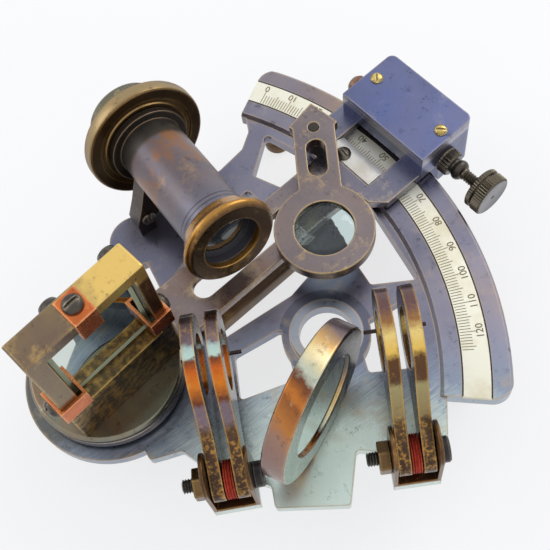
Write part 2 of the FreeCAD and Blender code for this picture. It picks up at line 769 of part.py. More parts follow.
node("magnifier_post", post, *post_place, top + arm_top)
reader_plate = plate("reader_plate", [[
    (reader_long, -reader_half), (reader_long, reader_half), (0, reader_half),
    (-reader_shoulder + reader_half, reader_shoulder), (-reader_tip, 0),
    (-reader_shoulder + reader_half, -reader_shoulder), (0, -reader_half),
]], reader_thick)
reader_ring = rod("reader_ring", glass_ring, reader_thick, reader_long)
reader = cut("magnifier_arm", join("reader_solid", [reader_plate, reader_ring]), [
    rod("reader_bore", post_pin + run_gap, reader_thick + overrun, 0, 0, -overrun / 2),
    rod("reader_eye", glass_radius, reader_thick + overrun, reader_long, 0, -overrun / 2),
    slot_tool("reader_slot_tool", reader_slot_start, reader_slot_end, reader_slot,
              reader_thick + overrun, -overrun / 2),
])
reader_turned = about_z(float(arm_turn) + float(reader_turn))
reader_base = top + arm_top + post_rise
node("magnifier_arm", reader, *post_place, reader_base, reader_turned)
lens_edge = size("lens_edge", 1)
lens_crown = size("lens_crown", 0.7)


def lens(name, radius, edge, crown):
    """A lens with two shallow domes, its middle at the origin."""
    return turned(name, [
        (0, -edge / 2 - crown), (radius * 0.6, -edge / 2 - crown * 0.64), (radius, -edge / 2),
        (radius, edge / 2), (radius * 0.6, edge / 2 + crown * 0.64), (0, edge / 2 + crown),
    ])


reach = reader_turned.multVec(Vector(float(reader_long), 0, 0))
node("magnifier_lens", lens("magnifier_lens", glass_radius, lens_edge, lens_crown),
     post_place[0] + reach.x, post_place[1] + reach.y, reader_base + reader_thick / 2)

# Telescope: a tube that stands a little nose up on a bracket, its own Z towards the objective.
scope_x = size("scope_x", -16.9)
scope_y = size("scope_y", 32.3)
scope_height = size("scope_height", 18)
scope_rise = angle("scope_rise", 9)
tube_radius = size("tube_radius", 6.9)
tube_wall = size("tube_wall", 0.8)
tube_front = size("tube_front", 17)
tube_back = size("tube_back", -15)
step_radius = size("step_radius", 8.6)
step_long = size("step_long", 1.5)
scope_axis = Vector(math.cos(math.radians(float(scope_rise))), 0, math.sin(math.radians(float(scope_rise))))
scope_turned = along(scope_axis)
scope_place = (scope_x, scope_y, top + scope_height)
tube_inner = tube_radius - tube_wall
tube = turned("telescope_tube", [
    (tube_inner, tube_back), (step_radius, tube_back), (step_radius, tube_back + step_long),
    (tube_radius, tube_back + step_long), (tube_radius, tube_front), (tube_inner, tube_front),
])
node("telescope_tube", tube, *scope_place, scope_turned)
bezel_radius = size("bezel_radius", 9.7)
bezel_bore = size("bezel_bore", 5.9)
bezel_long = size("bezel_long", 5)
bezel_lip = size("bezel_lip", 1.6)
bezel_round = size("bezel_round", 0.9)
bezel_back = tube_front + bezel_lip - bezel_long
bezel = turned("objective_ring", [
    (tube_radius, bezel_back), (tube_radius + tube_wall, bezel_back),
    (bezel_radius - bezel_round, bezel_back + bezel_long * 0.5),
    (bezel_radius, bezel_back + bezel_long * 0.65), (bezel_radius, tube_front + bezel_lip - bezel_round),
    (bezel_radius - bezel_round, tube_front + bezel_lip), (bezel_bore, tube_front + bezel_lip),
    (bezel_bore, tube_front), (tube_radius, tube_front),
])
node("objective_ring", bezel, *scope_place, scope_turned)
objective_back = size("objective_back", 2.5)
objective_edge = size("objective_edge", 1.4)


def on_scope(run):
    """A place along the telescope's axis."""
    reach = scope_turned.multVec(Vector(0, 0, float(run)))
    return scope_place[0] + reach.x, scope_place[1] + reach.y, scope_place[2] + reach.z


node("objective_lens", lens("objective_lens", tube_inner, objective_edge, lens_crown),
     *on_scope(tube_front - objective_back), scope_turned)

# Eyepiece: the draw tube with its big knurled flange and the eye ring slide together.
draw_front = size("draw_front", -5)
flange_radius = size("flange_radius", 13)
flange_long = size("flange_long", 3.2)
neck_radius = size("neck_radius", 5.6)
neck_long = size("neck_long", 4.4)
eye_bore = size("eye_bore", 3.4)
eye_ring_radius = size("eye_ring_radius", 8.6)
eye_ring_long = size("eye_ring_long", 4.4)
draw_radius = tube_inner - run_gap
flange_front = tube_back - side_gap
flange_back = flange_front - flange_long
neck_back = flange_back - neck_long
draw = turned("eyepiece_tube", [
    (eye_bore, neck_back), (neck_radius, neck_back), (neck_radius, flange_back),
    (flange_radius - bezel_round, flange_back), (flange_radius, flange_back + bezel_round),
    (flange_radius, flange_front - bezel_round / 2), (flange_radius - bezel_round / 2, flange_front),
    (draw_radius, flange_front), (draw_radius, draw_front), (draw_radius - tube_wall, draw_front),
    (draw_radius - tube_wall, flange_back), (eye_bore, flange_back),
])
node("eyepiece_tube", draw, *scope_place, scope_turned)
eye_ring_front = neck_back + neck_long / 2
eye_ring_back = eye_ring_front - eye_ring_long
cup = turned("eye_ring", [
    (eye_bore, eye_ring_back), (eye_ring_radius - bezel_round, eye_ring_back),
    (eye_ring_radius, eye_ring_back + bezel_round), (eye_ring_radius, eye_ring_front - bezel_round / 2),
    (eye_ring_radius - bezel_round / 2, eye_ring_front), (neck_radius, eye_ring_front),
    (neck_radius, neck_back), (eye_bore, neck_back),
])
node("eye_ring", cup, *scope_place, scope_turned)
eye_lens_edge = size("eye_lens_edge", 0.8)
node("eye_lens", lens("eye_lens", eye_bore, eye_lens_edge, lens_crown),
     *on_scope(neck_back + neck_long * 0.6), scope_turned)

# Telescope bracket: a post on the frame's ear that leans in under the tube and cradles it.
bracket_thick = size("bracket_thick", 4)
bracket_out = size("bracket_out", 2)
bracket_shift = size("bracket_shift", 3.5)
cradle_half = size("cradle_half", 6.2)
foot_thick = size("foot_thick", 3.4)
foot_half = size("foot_half", 2)
ear_x = ear_place[0] - bracket_out
ear_y = ear_place[1] + bracket_shift
cradle = put(plate("bracket_post", [[
    (ear_y - foot_half, -web_drop), (ear_y + foot_half, -web_drop),
    (ear_y + foot_half, foot_thick), (scope_y, scope_height * 0.4),
    (scope_y + cradle_half, scope_height * 0.55), (scope_y + cradle_half, scope_height * 0.86),
    (scope_y - cradle_half, scope_height * 0.86), (ear_y, scope_height * 0.45),
    (ear_y - foot_half, foot_thick),
]], bracket_thick, role="YZ_Plane", midplane=True), ear_x)
tube_room = rod("tube_room", tube_radius, 4 * tube_front)
reach = scope_turned.multVec(Vector(0, 0, 2 * float(tube_front)))
put(tube_room, float(scope_x) - reach.x, float(scope_y), float(scope_height) - reach.z, scope_turned)
node("telescope_bracket", cut("telescope_bracket", cradle, [tube_room]), 0, 0, top)
bracket_head = size("bracket_head", 1.6)
bracket_head_rise = size("bracket_head_rise", 1)
bracket_head_height = size("bracket_head_height", 4.5)
node("telescope_screw", dome_screw("telescope_screw", bracket_head, bracket_head_rise, groove_wide),
     ear_x + bracket_thick / 2, ear_y + foot_half * 0.4, top + bracket_head_height,
     along(Vector(1, 0, 0)))

# Horizon mirror: a thick round frame with a foot, its glass in the middle.
horizon_place = polar(ring_station_radius, ring_station_turn)
horizon_turn = angle("horizon_turn", 27)
horizon_radius = size("horizon_radius", 15.5)
horizon_thick = size("horizon_thick", 4.8)
horizon_bore = size("horizon_bore", 9.9)
glass_forward = size("glass_forward", 0.9)
horizon_glass_thick = size("horizon_glass_thick", 1.8)
horizon_foot = size("horizon_foot", 11)
horizon_sink = size("horizon_sink", 0.2)
face_on = Rotation(Vector(0, 1, 0), 90)
horizon_turned = about_z(horizon_turn)
ring_centre = horizon_radius - web_drop + horizon_sink
ring_body = rod("horizon_body", horizon_radius, horizon_thick, -horizon_thick / 2, 0, ring_centre, face_on)
ring_foot = box("horizon_foot_block", horizon_thick, horizon_foot, horizon_radius / 4,
                -horizon_thick / 2, -horizon_foot / 2, -web_drop)
ring_hole = rod("horizon_hole", horizon_bore, horizon_thick + overrun,
                -horizon_thick / 2 - overrun / 2, 0, ring_centre, face_on)
horizon = cut("horizon_ring", join("horizon_solid", [ring_body, ring_foot]), [ring_hole])
node("horizon_ring", horizon, *horizon_place, top, horizon_turned)
horizon_glass = rod("horizon_glass", horizon_bore, horizon_glass_thick)
glass_shift = horizon_turned.multVec(Vector(float(glass_forward) - float(horizon_glass_thick) / 2, 0, 0))
node("horizon_glass", horizon_glass, float(horizon_place[0]) + glass_shift.x,
     float(horizon_place[1]) + glass_shift.y, top + ring_centre, horizon_turned.multiply(face_on))
under_head = size("under_head", 1.8)
under_rise = size("under_rise", 1)
under_pitch = size("under_pitch", 6.5)
downward = Rotation(Vector(1, 0, 0), 180)
screws = []
for name, side in (("horizon_screw_near", -1), ("horizon_screw_far", 1)):
    shift = horizon_turned.multVec(Vector(0, side * float(under_pitch) / 2, 0))
    screws.append(dome_screw(name, under_head, under_rise, groove_wide,
                             float(horizon_place[0]) + shift.x, float(horizon_place[1]) + shift.y,
                             float(top) - float(limb_thick), downward))
node("horizon_screws", group("horizon_screws", screws))

# Shades: two pairs on bolts in U brackets. Each pair is modelled with X along its bolt.
bracket_sheet = size("bracket_sheet", 0.8)
bolt_height = size("bolt_height", 6.3)
bolt_radius = size("bolt_radius", 1.4)
bolt_tail = size("bolt_tail", 2.2)
head_flats = size("head_flats", 5)
head_long = size("head_long", 2)
nut_flats = size("nut_flats", 5.6)
nut_long = size("nut_long", 2.3)
bracket_rise = size("bracket_rise", 5)
shade_thick = size("shade_thick", 2.4)
shade_radius = size("shade_radius", 9.5)
shade_bore = size("shade_bore", 5.8)
shade_long = size("shade_long", 22)
shade_boss = size("shade_boss", 3.8)
shade_neck = size("shade_neck", 4)
neck_run_share = 0.36
index_shade_lean = angle("index_shade_lean", 61)
horizon_shade_lean = angle("horizon_shade_lean", 54)
glass_thick = size("glass_thick", 1.2)
shade_pin_radius = size("shade_pin_radius", 0.4)
shade_pin_long = size("shade_pin_long", 2.4)
packing_radius = size("packing_radius", 3.8)
packing_groove = size("packing_groove", 0.3)
packing_turns = 3
shade_leans = {"index": index_shade_lean, "horizon": horizon_shade_lean}
bolt_level = bolt_height - web_drop
inner_half = bracket_width / 2 - bracket_sheet
packing_half = inner_half - 3 * side_gap - shade_thick


def hexagon(flats):
    """The corners of a hexagon by its width across flats."""
    reach = flats / math.sqrt(3)
    return [(reach * math.cos(math.radians(60 * step)) if step % 3 or step == 0 or step == 3 else 0,
             reach * math.sin(math.radians(60 * step)) if step % 3 else 0) for step in range(6)]


def on_bolt(key, run, level):
    """A place by its run along a bolt and its height above the web."""
    reach = about_z(bolt_turns[key]).multVec(Vector(float(run), 0, 0))
    return float(stations[key][0]) + reach.x, float(stations[key][1]) + reach.y, float(top + level)


bracket_heads = []
for key, station in stations.items():
    shade_turned = about_z(bolt_turns[key])
    sideways = shade_turned.multiply(face_on)
    lean = Rotation(Vector(1, 0, 0), -float(shade_leans[key]))
    base = box(key + "_base", bracket_width, bracket_depth, bolt_height + bracket_rise,
               -bracket_width / 2, -bracket_depth / 2, -web_drop)
    crown = rod(key + "_crown", bracket_depth / 2, bracket_width, -bracket_width / 2, 0,
                bolt_level + bracket_rise, face_on)
    room = box(key + "_room", 2 * inner_half, 2 * bracket_depth, 2 * (bolt_height + bracket_rise),
               -inner_half, -bracket_depth, bracket_sheet - web_drop)
    hole = rod(key + "_bolt_hole", bolt_radius, bracket_width + overrun,
               -bracket_width / 2 - overrun / 2, 0, bolt_level, face_on)
    bracket = cut(key + "_shade_bracket", join(key + "_bracket_solid", [base, crown]), [room, hole])
    node(key + "_shade_bracket", bracket, *station, top, shade_turned)
    bracket_heads.append(dome_screw(key + "_base_screw", bracket_sheet * 1.5, bracket_sheet * 0.75,
                                    bracket_sheet / 2, *on_bolt(key, 0, bracket_sheet - web_drop)))

    stock = rod(key + "_shank", bolt_radius, bracket_width + nut_long + bolt_tail, 0, 0, 0)
    put(stock, 0, 0, -bracket_width / 2 - nut_long - bolt_tail)
    cap = put(plate(key + "_head", [hexagon(head_flats)], head_long), 0, 0, bracket_width / 2)
    node(key + "_shade_bolt", join(key + "_shade_bolt", [stock, cap]), *on_bolt(key, 0, bolt_level),
         sideways)
    nut = plate(key + "_shade_nut", [hexagon(nut_flats)], nut_long, [(0, 0, bolt_radius)])
    node(key + "_shade_nut", nut, *on_bolt(key, -bracket_width / 2 - nut_long, bolt_level), sideways)

    points = [(bolt_radius, -packing_half), (packing_radius - packing_groove, -packing_half)]
    pitch = 2 * packing_half / packing_turns
    for step in range(packing_turns):
        points += [(packing_radius, -packing_half + pitch * (step + 0.5)),
                   (packing_radius - packing_groove, -packing_half + pitch * (step + 1))]
    points += [(bolt_radius, packing_half)]
    node(key + "_shade_packing", turned(key + "_shade_packing", points),
         *on_bolt(key, 0, bolt_level), sideways)

    for row, (side, pin_side) in enumerate(((-1, -1), (1, 1))):
        name = "%s_shade_%d" % (key, row + 1)
        middle = side * (packing_half + side_gap + shade_thick / 2)
        pin_run = shade_thick / 2 if pin_side > 0 else -shade_thick / 2 - shade_pin_long
        outer = rod(name + "_ring", shade_radius, shade_thick, -shade_thick / 2, 0, shade_long, face_on)
        boss_round = rod(name + "_boss", shade_boss, shade_thick, -shade_thick / 2, 0, 0, face_on)
        shoulder = (shade_radius * 0.8, shade_long - shade_radius * 0.6)
        stem = plate(name + "_stem", [[
            (-shade_boss * 0.95, 0), (shade_boss * 0.95, 0), (shade_neck, shade_long * neck_run_share),
            shoulder, (-shoulder[0], shoulder[1]), (-shade_neck, shade_long * neck_run_share),
        ]], shade_thick, role="YZ_Plane", midplane=True)
        pin = rod(name + "_pin", shade_pin_radius, shade_pin_long, pin_run, shade_radius * 0.8,
                  shade_long, face_on)
        sight = rod(name + "_sight", shade_bore, shade_thick + overrun,
                    -shade_thick / 2 - overrun / 2, 0, shade_long, face_on)
        bore = rod(name + "_bore", bolt_radius + run_gap, shade_thick + overrun,
                   -shade_thick / 2 - overrun / 2, 0, 0, face_on)
        holder = cut(name, join(name + "_solid", [outer, boss_round, stem, pin]), [sight, bore])
        spot = on_bolt(key, middle, bolt_level)
        tilt = shade_turned.multiply(lean)
        node(name, holder, *spot, tilt)
        reach = tilt.multVec(Vector(-float(glass_thick) / 2, 0, float(shade_long)))
        pane = rod(name + "_glass", shade_bore, glass_thick)
        node(name + "_glass", pane, spot[0] + reach.x, spot[1] + reach.y, spot[2] + reach.z,
             tilt.multiply(face_on))
node("bracket_screws", group("bracket_screws", bracket_heads))

doc.recompute()
faults = [item.Name for item in doc.Objects if "Invalid" in item.State or "Error" in item.State]
for made in nodes:
    if made.Shape.isNull() or not made.Shape.isValid() or not made.Shape.Solids:
        faults.append(made.Label)
if faults:
    raise RuntimeError("these objects failed: " + ", ".join(faults))
os.makedirs("parts", exist_ok=True)
for made in nodes:
    made.Shape.exportStep("parts/%s.step" % made.Label)
print("%d sub-parts" % len(nodes))
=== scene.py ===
import json
import math
import bmesh
import bpy
from mathutils import Matrix, Vector

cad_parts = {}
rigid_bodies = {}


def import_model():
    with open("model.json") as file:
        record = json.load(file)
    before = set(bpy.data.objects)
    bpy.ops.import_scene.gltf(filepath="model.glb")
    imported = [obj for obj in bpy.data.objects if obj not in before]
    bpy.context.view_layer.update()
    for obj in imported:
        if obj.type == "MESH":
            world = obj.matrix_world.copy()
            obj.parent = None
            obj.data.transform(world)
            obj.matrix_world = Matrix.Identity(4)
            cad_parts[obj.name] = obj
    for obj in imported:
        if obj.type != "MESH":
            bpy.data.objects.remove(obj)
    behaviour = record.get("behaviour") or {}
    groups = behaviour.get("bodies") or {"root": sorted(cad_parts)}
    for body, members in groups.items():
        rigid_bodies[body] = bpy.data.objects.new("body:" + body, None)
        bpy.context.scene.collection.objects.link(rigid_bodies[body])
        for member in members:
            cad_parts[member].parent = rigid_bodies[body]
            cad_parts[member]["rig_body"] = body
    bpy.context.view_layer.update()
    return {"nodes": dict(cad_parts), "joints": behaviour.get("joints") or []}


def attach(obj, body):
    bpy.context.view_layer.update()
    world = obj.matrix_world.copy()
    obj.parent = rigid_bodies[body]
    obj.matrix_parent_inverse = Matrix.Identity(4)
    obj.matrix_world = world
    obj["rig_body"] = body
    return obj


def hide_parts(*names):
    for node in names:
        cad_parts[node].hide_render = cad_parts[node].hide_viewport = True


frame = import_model()

# The camera stands where the photographer stood: high over the shade side of the sextant,
# with the scale at the top of the picture. Its lens is a short telephoto.
MM = 0.001
aim = Vector((2.392, 38.962, 19.5)) * MM
distance = 204.934
tilt, heading, roll = math.radians(25.836), math.radians(-23.308), math.radians(12.738)
back = Vector((
    math.cos(heading) * math.sin(tilt),
    math.sin(heading) * math.sin(tilt),
    math.cos(tilt),
))
level_up = Vector((-math.cos(heading), -math.sin(heading), 0)) * math.cos(tilt)
level_up = level_up + Vector((0, 0, math.sin(tilt)))
level_right = (-back).cross(level_up)
up = level_up * math.cos(roll) + level_right * math.sin(roll)
right = (-back).cross(up)
camera = bpy.data.objects.new("photo_camera", bpy.data.cameras.new("photo_camera"))
bpy.context.collection.objects.link(camera)
camera.data.sensor_width = 36
camera.data.lens = 64.364
camera.data.clip_start = 0.01
camera.matrix_world = Matrix((
    (right.x, up.x, back.x, aim.x + back.x * distance * MM),
    (right.y, up.y, back.y, aim.y + back.y * distance * MM),
    (right.z, up.z, back.z, aim.z + back.z * distance * MM),
    (0, 0, 0, 1),
))
bpy.context.scene.camera = camera
bpy.context.scene.view_settings.view_transform = "Standard"

# The sextant lies on a plain white table top in a bright room, under one broad soft light
# with a weaker one opposite. Neither is part of the sextant.
MM_PER_M = 1000.0


class Wire:
    """A value in a material. Sums, products and comparisons of wires become Math nodes."""

    def __init__(self, tree, socket):
        self.tree = tree
        self.socket = socket

    def node(self, kind, settings=None, sockets=None, out=0):
        """Any node: its settings first, then the values or wires of its sockets."""
        made = self.tree.nodes.new("ShaderNode" + kind)
        for name, value in (settings or {}).items():
            if name != "stops":
                setattr(made, name, value)
                continue
            stops = made.color_ramp.elements
            while len(stops) < len(value):
                stops.new(1)
            for stop, (where, level) in zip(stops, value):
                stop.position = where
                stop.color = level if isinstance(level, tuple) else (level, level, level, 1)
        for name, value in (sockets or {}).items():
            if isinstance(value, Wire):
                self.tree.links.new(value.socket, made.inputs[name])
            else:
                made.inputs[name].default_value = value
        return Wire(self.tree, made.outputs[out])

    def math(self, operation, first, second=0.0):
        return self.node("Math", {"operation": operation}, {0: first, 1: second})

    def vector(self, operation, first, second, out=0):
        return self.node("VectorMath", {"operation": operation}, {0: first, 1: second}, out)

    def __add__(self, other):
        return self.math("ADD", self, other)

    def __radd__(self, other):
        return self.math("ADD", other, self)

    def __sub__(self, other):
        return self.math("SUBTRACT", self, other)

    def __rsub__(self, other):
        return self.math("SUBTRACT", other, self)

    def __mul__(self, other):
        return self.math("MULTIPLY", self, other)

    def __rmul__(self, other):
        return self.math("MULTIPLY", other, self)

    def __truediv__(self, other):
        return self.math("DIVIDE", self, other)

    def __rtruediv__(self, other):
        return self.math("DIVIDE", other, self)

    def __gt__(self, other):
        return self.math("GREATER_THAN", self, other)

    def __lt__(self, other):
        return self.math("LESS_THAN", self, other)

    def __abs__(self):
        return self.math("ABSOLUTE", self)

    def most(self, other):
        """The larger of two."""
        return self.math("MAXIMUM", self, other)

    def folded(self, span):
        """Runs up and down between 0 and span."""
        return self.math("PINGPONG", self, span)

    def ramp(self, *stops):
        """A ramp of (place, grey level or colour) stops."""
        return self.node("ValToRGB", {"stops": stops}, {0: self})

    def rise(self, low=0.0, high=1.0, top=1.0):
        """0 up to low, then rising to top at high."""
        return self.ramp((low, 0.0), (high, top))

    def blend(self, low, high):
        """Goes from the colour low to the colour high as this wire goes from 0 to 1."""
        return self.node("Mix", {"data_type": "RGBA"}, {0: self, 6: low, 7: high}, 2)

    def stretched(self, x, y, z):
        """This place with its three directions stretched apart."""
        return self.vector("MULTIPLY", self, (x, y, z))

    def noise(self, scale, detail=4.0, rough=0.55):
        sockets = {"Vector": self, "Scale": scale, "Detail": detail, "Roughness": rough}
        return self.node("TexNoise", None, sockets)

    def part(self, axis):
        """One of the three numbers of this place, in millimetres."""
        return self.node("SeparateXYZ", None, {0: self}, axis) * MM_PER_M

    def reach(self, start, way):
        """How far this place is from a start along a way, in millimetres."""
        from_start = self.vector("SUBTRACT", self, start)
        return self.vector("DOT_PRODUCT", from_start, way, 1) * MM_PER_M

    def apart(self, x=0.0, y=0.0):
        """How far this place is from the upright line through x, y, in millimetres."""
        flat = self.vector("SUBTRACT", self.stretched(1, 1, 0), (x * MM, y * MM, 0))
        return self.node("VectorMath", {"operation": "LENGTH"}, {0: flat}, 1) * MM_PER_M

    def facing(self, way):
        """1 where the surface faces along a way or against it, 0 where it lies along it."""
        outward = self.node("TexCoord", None, None, 1)
        return abs(self.vector("DOT_PRODUCT", outward, way, 1))


def seen(red, green, blue):
    """A colour as a screen shows it, 0 to 255, as the shaders want it."""
    shown = [value / 255 for value in (red, green, blue)]
    return (*(((v + 0.055) / 1.055) ** 2.4 if v > 10 / 255 else v / 12.92 for v in shown), 1.0)


def finish(name, draw, **fixed):
    """A material: the fixed values and what draw(place) gives go to its shader."""
    made = bpy.data.materials.new(name)
    made.use_nodes = True
    tree = made.node_tree
    shader = tree.nodes["Principled BSDF"]
    for socket, value in fixed.items():
        shader.inputs[socket.replace("_", " ")].default_value = value
    spot = tree.nodes.new("ShaderNodeTexCoord").outputs["Object"]
    for socket, wire in draw(Wire(tree, spot)).items():
        tree.links.new(wire.socket, shader.inputs[socket.replace("_", " ")])
    return made


def link_object(name, mesh, place=None):
    """A new object in the scene, at its place where one is given."""
    made = bpy.data.objects.new(name, mesh)
    bpy.context.collection.objects.link(made)
    if place is not None:
        made.matrix_world = place
    return made


table_mesh = bpy.data.meshes.new("table_top")
half_side = 3.0
table_mesh.from_pydata([
    (-half_side, -half_side, 0), (half_side, -half_side, 0),
    (half_side, half_side, 0), (-half_side, half_side, 0),
], [], [(0, 1, 2, 3)])
table_top = link_object("table_top", table_mesh)


def plainly_seen(wire):
    """1 for the camera and for what metal and glass show, 0 for the light on things."""
    rays = wire.node("LightPath").socket.node.outputs
    direct, mirrored, through = [
        Wire(wire.tree, rays["Is %s Ray" % kind])
        for kind in ("Camera", "Glossy", "Transmission")]
    return direct.most(mirrored).most(through)


white_table = finish("white_table", lambda place: {
    "Base_Color": place.noise(30.0).blend(seen(240, 240, 246), seen(246, 246, 250)),
}, Roughness=0.6)
own_light = 0.7
table = Wire(white_table.node_tree, white_table.node_tree.nodes["Principled BSDF"].outputs[0])
glow = table.node("Emission", None, {"Color": (1, 1, 1, 1), "Strength": 1.0})
lit = table.node("MixShader", None, {0: plainly_seen(table) * own_light, 1: table, 2: glow})
table_end = white_table.node_tree.nodes["Material Output"]
table.tree.links.new(lit.socket, table_end.inputs["Surface"])
table_top.data.materials.append(white_table)

room = bpy.data.worlds.new("bright_room")
bpy.context.scene.world = room
room.use_nodes = True
background = room.node_tree.nodes["Background"]
sky = Wire(room.node_tree, room.node_tree.nodes.new("ShaderNodeTexCoord").outputs["Generated"])
height = sky.node("SeparateXYZ", None, {0: sky}, 2)
air = height.ramp((0.0, 0.95), (0.4, 0.7), (1.0, 0.8)).blend((0, 0, 0, 1), (0.95, 0.97, 1.0, 1))
air = plainly_seen(sky).blend(air, (1, 1, 1, 1))
room.node_tree.links.new(air.socket, background.inputs["Color"])
background.inputs["Strength"].default_value = 1.0


def soft_light(name, spot, size, power, colour):
    """A square soft light that looks at the sextant."""
    middle = Vector((0.01, 0.035, 0.02))
    lamp = bpy.data.lights.new(name, "AREA")
    lamp.size = size
    lamp.energy = power
    lamp.color = colour
    made = link_object(name, lamp)
    made.location = Vector(spot)
    made.rotation_euler = (middle - made.location).to_track_quat("-Z", "Y").to_euler()


soft_light("broad_light", (-0.15, 0.8, 0.6), 0.6, 3.0, (1.0, 0.98, 0.95))
soft_light("weak_light", (-0.6, -0.55, 0.55), 0.6, 1.6, (0.95, 0.98, 1.0))


# Frame: a flat brass casting, machined, browned and rubbed back, so that its edges and a few
# patches shine through. The limb stands a little proud of the thinner web, whose lower part,
# by the shades, is brushed, and is painted pale there as the sheen of an overhead light on it.
def aged(name, dark, tint, worn, patch, wear, rough, paint=None, dull=None):
    """Old metal: two tones in clouds, rubbed bright at edges and in patches, unless dull is 1.

    A larger patch number gives smaller clouds, and paint lays its own colours over the tones.
    """

    def draw(place):
        cloud = place.noise(patch, 5.0)
        small = place.noise(patch * 9, 6.0, 0.7)
        lines = place.stretched(1, 16, 16).noise(420.0, 2.0)
        tone = cloud.rise(0.36, 0.64).blend(dark, tint)
        if paint:
            tone = paint(place, small, tone)
        soft = place.node("Bevel", {"samples": 4}, {"Radius": 0.7 * MM})
        sharp = place.node("NewGeometry", None, None, 1)
        edge = 1.0 - place.vector("DOT_PRODUCT", soft, sharp, 1)
        edge = (edge * 5.0 * (small + 0.35)).rise(0.1, 0.6)
        rubbed = place.noise(patch * 2.3, 6.0, 0.65) + small * 0.35
        bright = edge.most(rubbed.rise(0.78 - wear * 0.2, 0.95) * 0.7)
        if dull:
            bright = bright * (1.0 - dull(place))
        colour = bright.blend(tone, worn)
        speck = small.rise(0.28, 0.42).blend(seen(40, 32, 28), (1, 1, 1, 1))
        colour = place.node("Mix", {"data_type": "RGBA", "blend_type": "MULTIPLY"},
                            {0: 0.5, 6: colour, 7: speck}, 2)
        bump = place.node("Bump", None, {
            "Strength": 0.12, "Distance": 0.05 * MM, "Height": small + lines * 0.6})
        rough_here = small * 0.22 + cloud * 0.1 + (rough - 0.16)
        return {"Base_Color": colour, "Roughness": rough_here, "Normal": bump}

    return finish(name, draw, Metallic=0.93, Coat_Weight=0.15, Coat_Roughness=0.2)


def rounded(name, node, width, material):
    """A copy of a CAD node with its sharp edges broken, as a file and a polish leave them."""
    same_point, same_plane, sharp_edge = 0.002 * MM, math.radians(0.6), math.radians(38)
    source = frame["nodes"][node]
    shape = bmesh.new()
    shape.from_mesh(source.data)
    bmesh.ops.remove_doubles(shape, verts=shape.verts, dist=same_point)
    bmesh.ops.dissolve_limit(shape, angle_limit=same_plane, verts=shape.verts, edges=shape.edges)
    mesh = bpy.data.meshes.new(name)
    shape.to_mesh(mesh)
    shape.free()
    mesh.materials.append(material)
    mesh.polygons.foreach_set("use_smooth", [True] * len(mesh.polygons))
    made = link_object(name, mesh)
    bevel = made.modifiers.new("broken_edges", "BEVEL")
    bevel.width = width * MM
    bevel.segments = 2
    bevel.limit_method = "ANGLE"
    bevel.angle_limit = sharp_edge
    made.modifiers.new("even_light", "WEIGHTED_NORMAL")
    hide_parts(node)
    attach(made, source["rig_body"])


def casting_tones(place, small, tone):
    """Golden clouds and a paler end on the limb, an olive hub, and brushed metal at the tab,
    painted pale as a sheen.
    """
    hub_edge, limb_edge, strip_edge, eye_hole, eye_rim = 19.5, 65.8, 70.0, 7.6, 9.6
    x, y, far, from_eye = place.part(0), place.part(1), place.apart(), place.apart(19.0, 40.0)
    on_limb = far > limb_edge
    outward = (far - strip_edge).ramp((0.0, 0.15), (1.0, 0.5))
    gold = place.noise(34.0, 4.0).rise(0.46, 0.66) * outward
    tone = (gold * on_limb).blend(tone, seen(164, 136, 108))
    pale_end = ((x - 15.0) / 35.0).rise(top=0.6) * on_limb
    tone = pale_end.blend(tone, seen(168, 168, 188))
    tone = ((hub_edge - far).rise() * 0.8).blend(tone, seen(92, 94, 86))
    # Painted sheen: towards the tab the web is painted blue grey and then pale green, as an
    # overhead light reflected on brushed metal.
    brush = place.stretched(14, 1, 14).noise(300.0, 3.0)
    low = x * 0.045 - 0.75 - (y - 28.0).most(0.0) * 0.045
    low = low + (small - 0.5) * 0.3 + (brush - 0.5) * 0.9
    tone = (low + 0.6).rise(0.0, 0.6, 0.9).blend(tone, seen(138, 150, 170))
    tone = low.rise(0.0, 0.7).blend(tone, seen(204, 220, 214))
    tone = ((from_eye < eye_rim) * 0.75).blend(tone, seen(92, 94, 110))
    return ((from_eye < eye_hole) * 0.8).blend(tone, seen(160, 168, 182))


casting = aged("browned_casting", seen(106, 108, 128), seen(132, 130, 146), seen(184, 162, 130),
               42.0, 0.25, 0.3, casting_tones)
rounded("frame_casting", "frame_plate", 0.35, casting)


# Scale: a strip of silvered metal let into the limb between two dark joints. It has a mark for
# each degree, and the numbers stand outside the marks, with their tops towards the pivot.
def silver(place):
    fine = place.noise(900.0, 5.0, 0.7)
    stain = place.noise(140.0, 5.0, 0.6).rise(0.45, 0.75)
    return {
        "Base_Color": stain.blend(seen(236, 234, 218), seen(214, 206, 176)),
        "Roughness": fine * 0.25 + 0.3,
        "Normal": place.node("Bump", None, {
            "Strength": 0.08, "Distance": 0.03 * MM, "Height": fine}),
    }


silvered = finish("silvered_strip", silver, Metallic=0.6)
rounded("scale_strip", "scale_inlay", 0.06, silvered)
joint_black = finish("dark_joint", lambda place: {
    "Base_Color": place.noise(700.0).blend(seen(24, 20, 22), seen(58, 48, 42)),
}, Roughness=0.5, Metallic=0.2)
cut_brown = finish("blackened_cut", lambda place: {
    "Base_Color": place.noise(800.0).blend(seen(92, 80, 62), seen(150, 136, 104)),
}, Roughness=0.6, Metallic=0.1)
TOP = 19.5
SKIN = 0.02


def marks(name, quads, body, material):
    """Thin flat marks, each a quad of corners in millimetres."""
    mesh = bpy.data.meshes.new(name)
    points = [Vector(c) * MM for quad in quads for c in quad]
    mesh.from_pydata(points, [], [tuple(range(4 * i, 4 * i + 4)) for i in range(len(quads))])
    mesh.materials.append(material)
    made = link_object(name, mesh)
    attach(made, body)


def spoke(turn, near, far, half, level):
    """A mark along a radius: its four corners."""
    along = Vector((math.cos(turn), math.sin(turn), 0))
    aside = Vector((-math.sin(turn), math.cos(turn), 0))
    lift = Vector((0, 0, level))
    corners = ((near, -1), (far, -1), (far, 1), (near, 1))
    return [along * r + aside * s * half + lift for r, s in corners]


def scale_turn(value):
    """Where a value stands on the limb: half a degree for each, down from 120 degrees."""
    return math.radians(120 - value / 2)


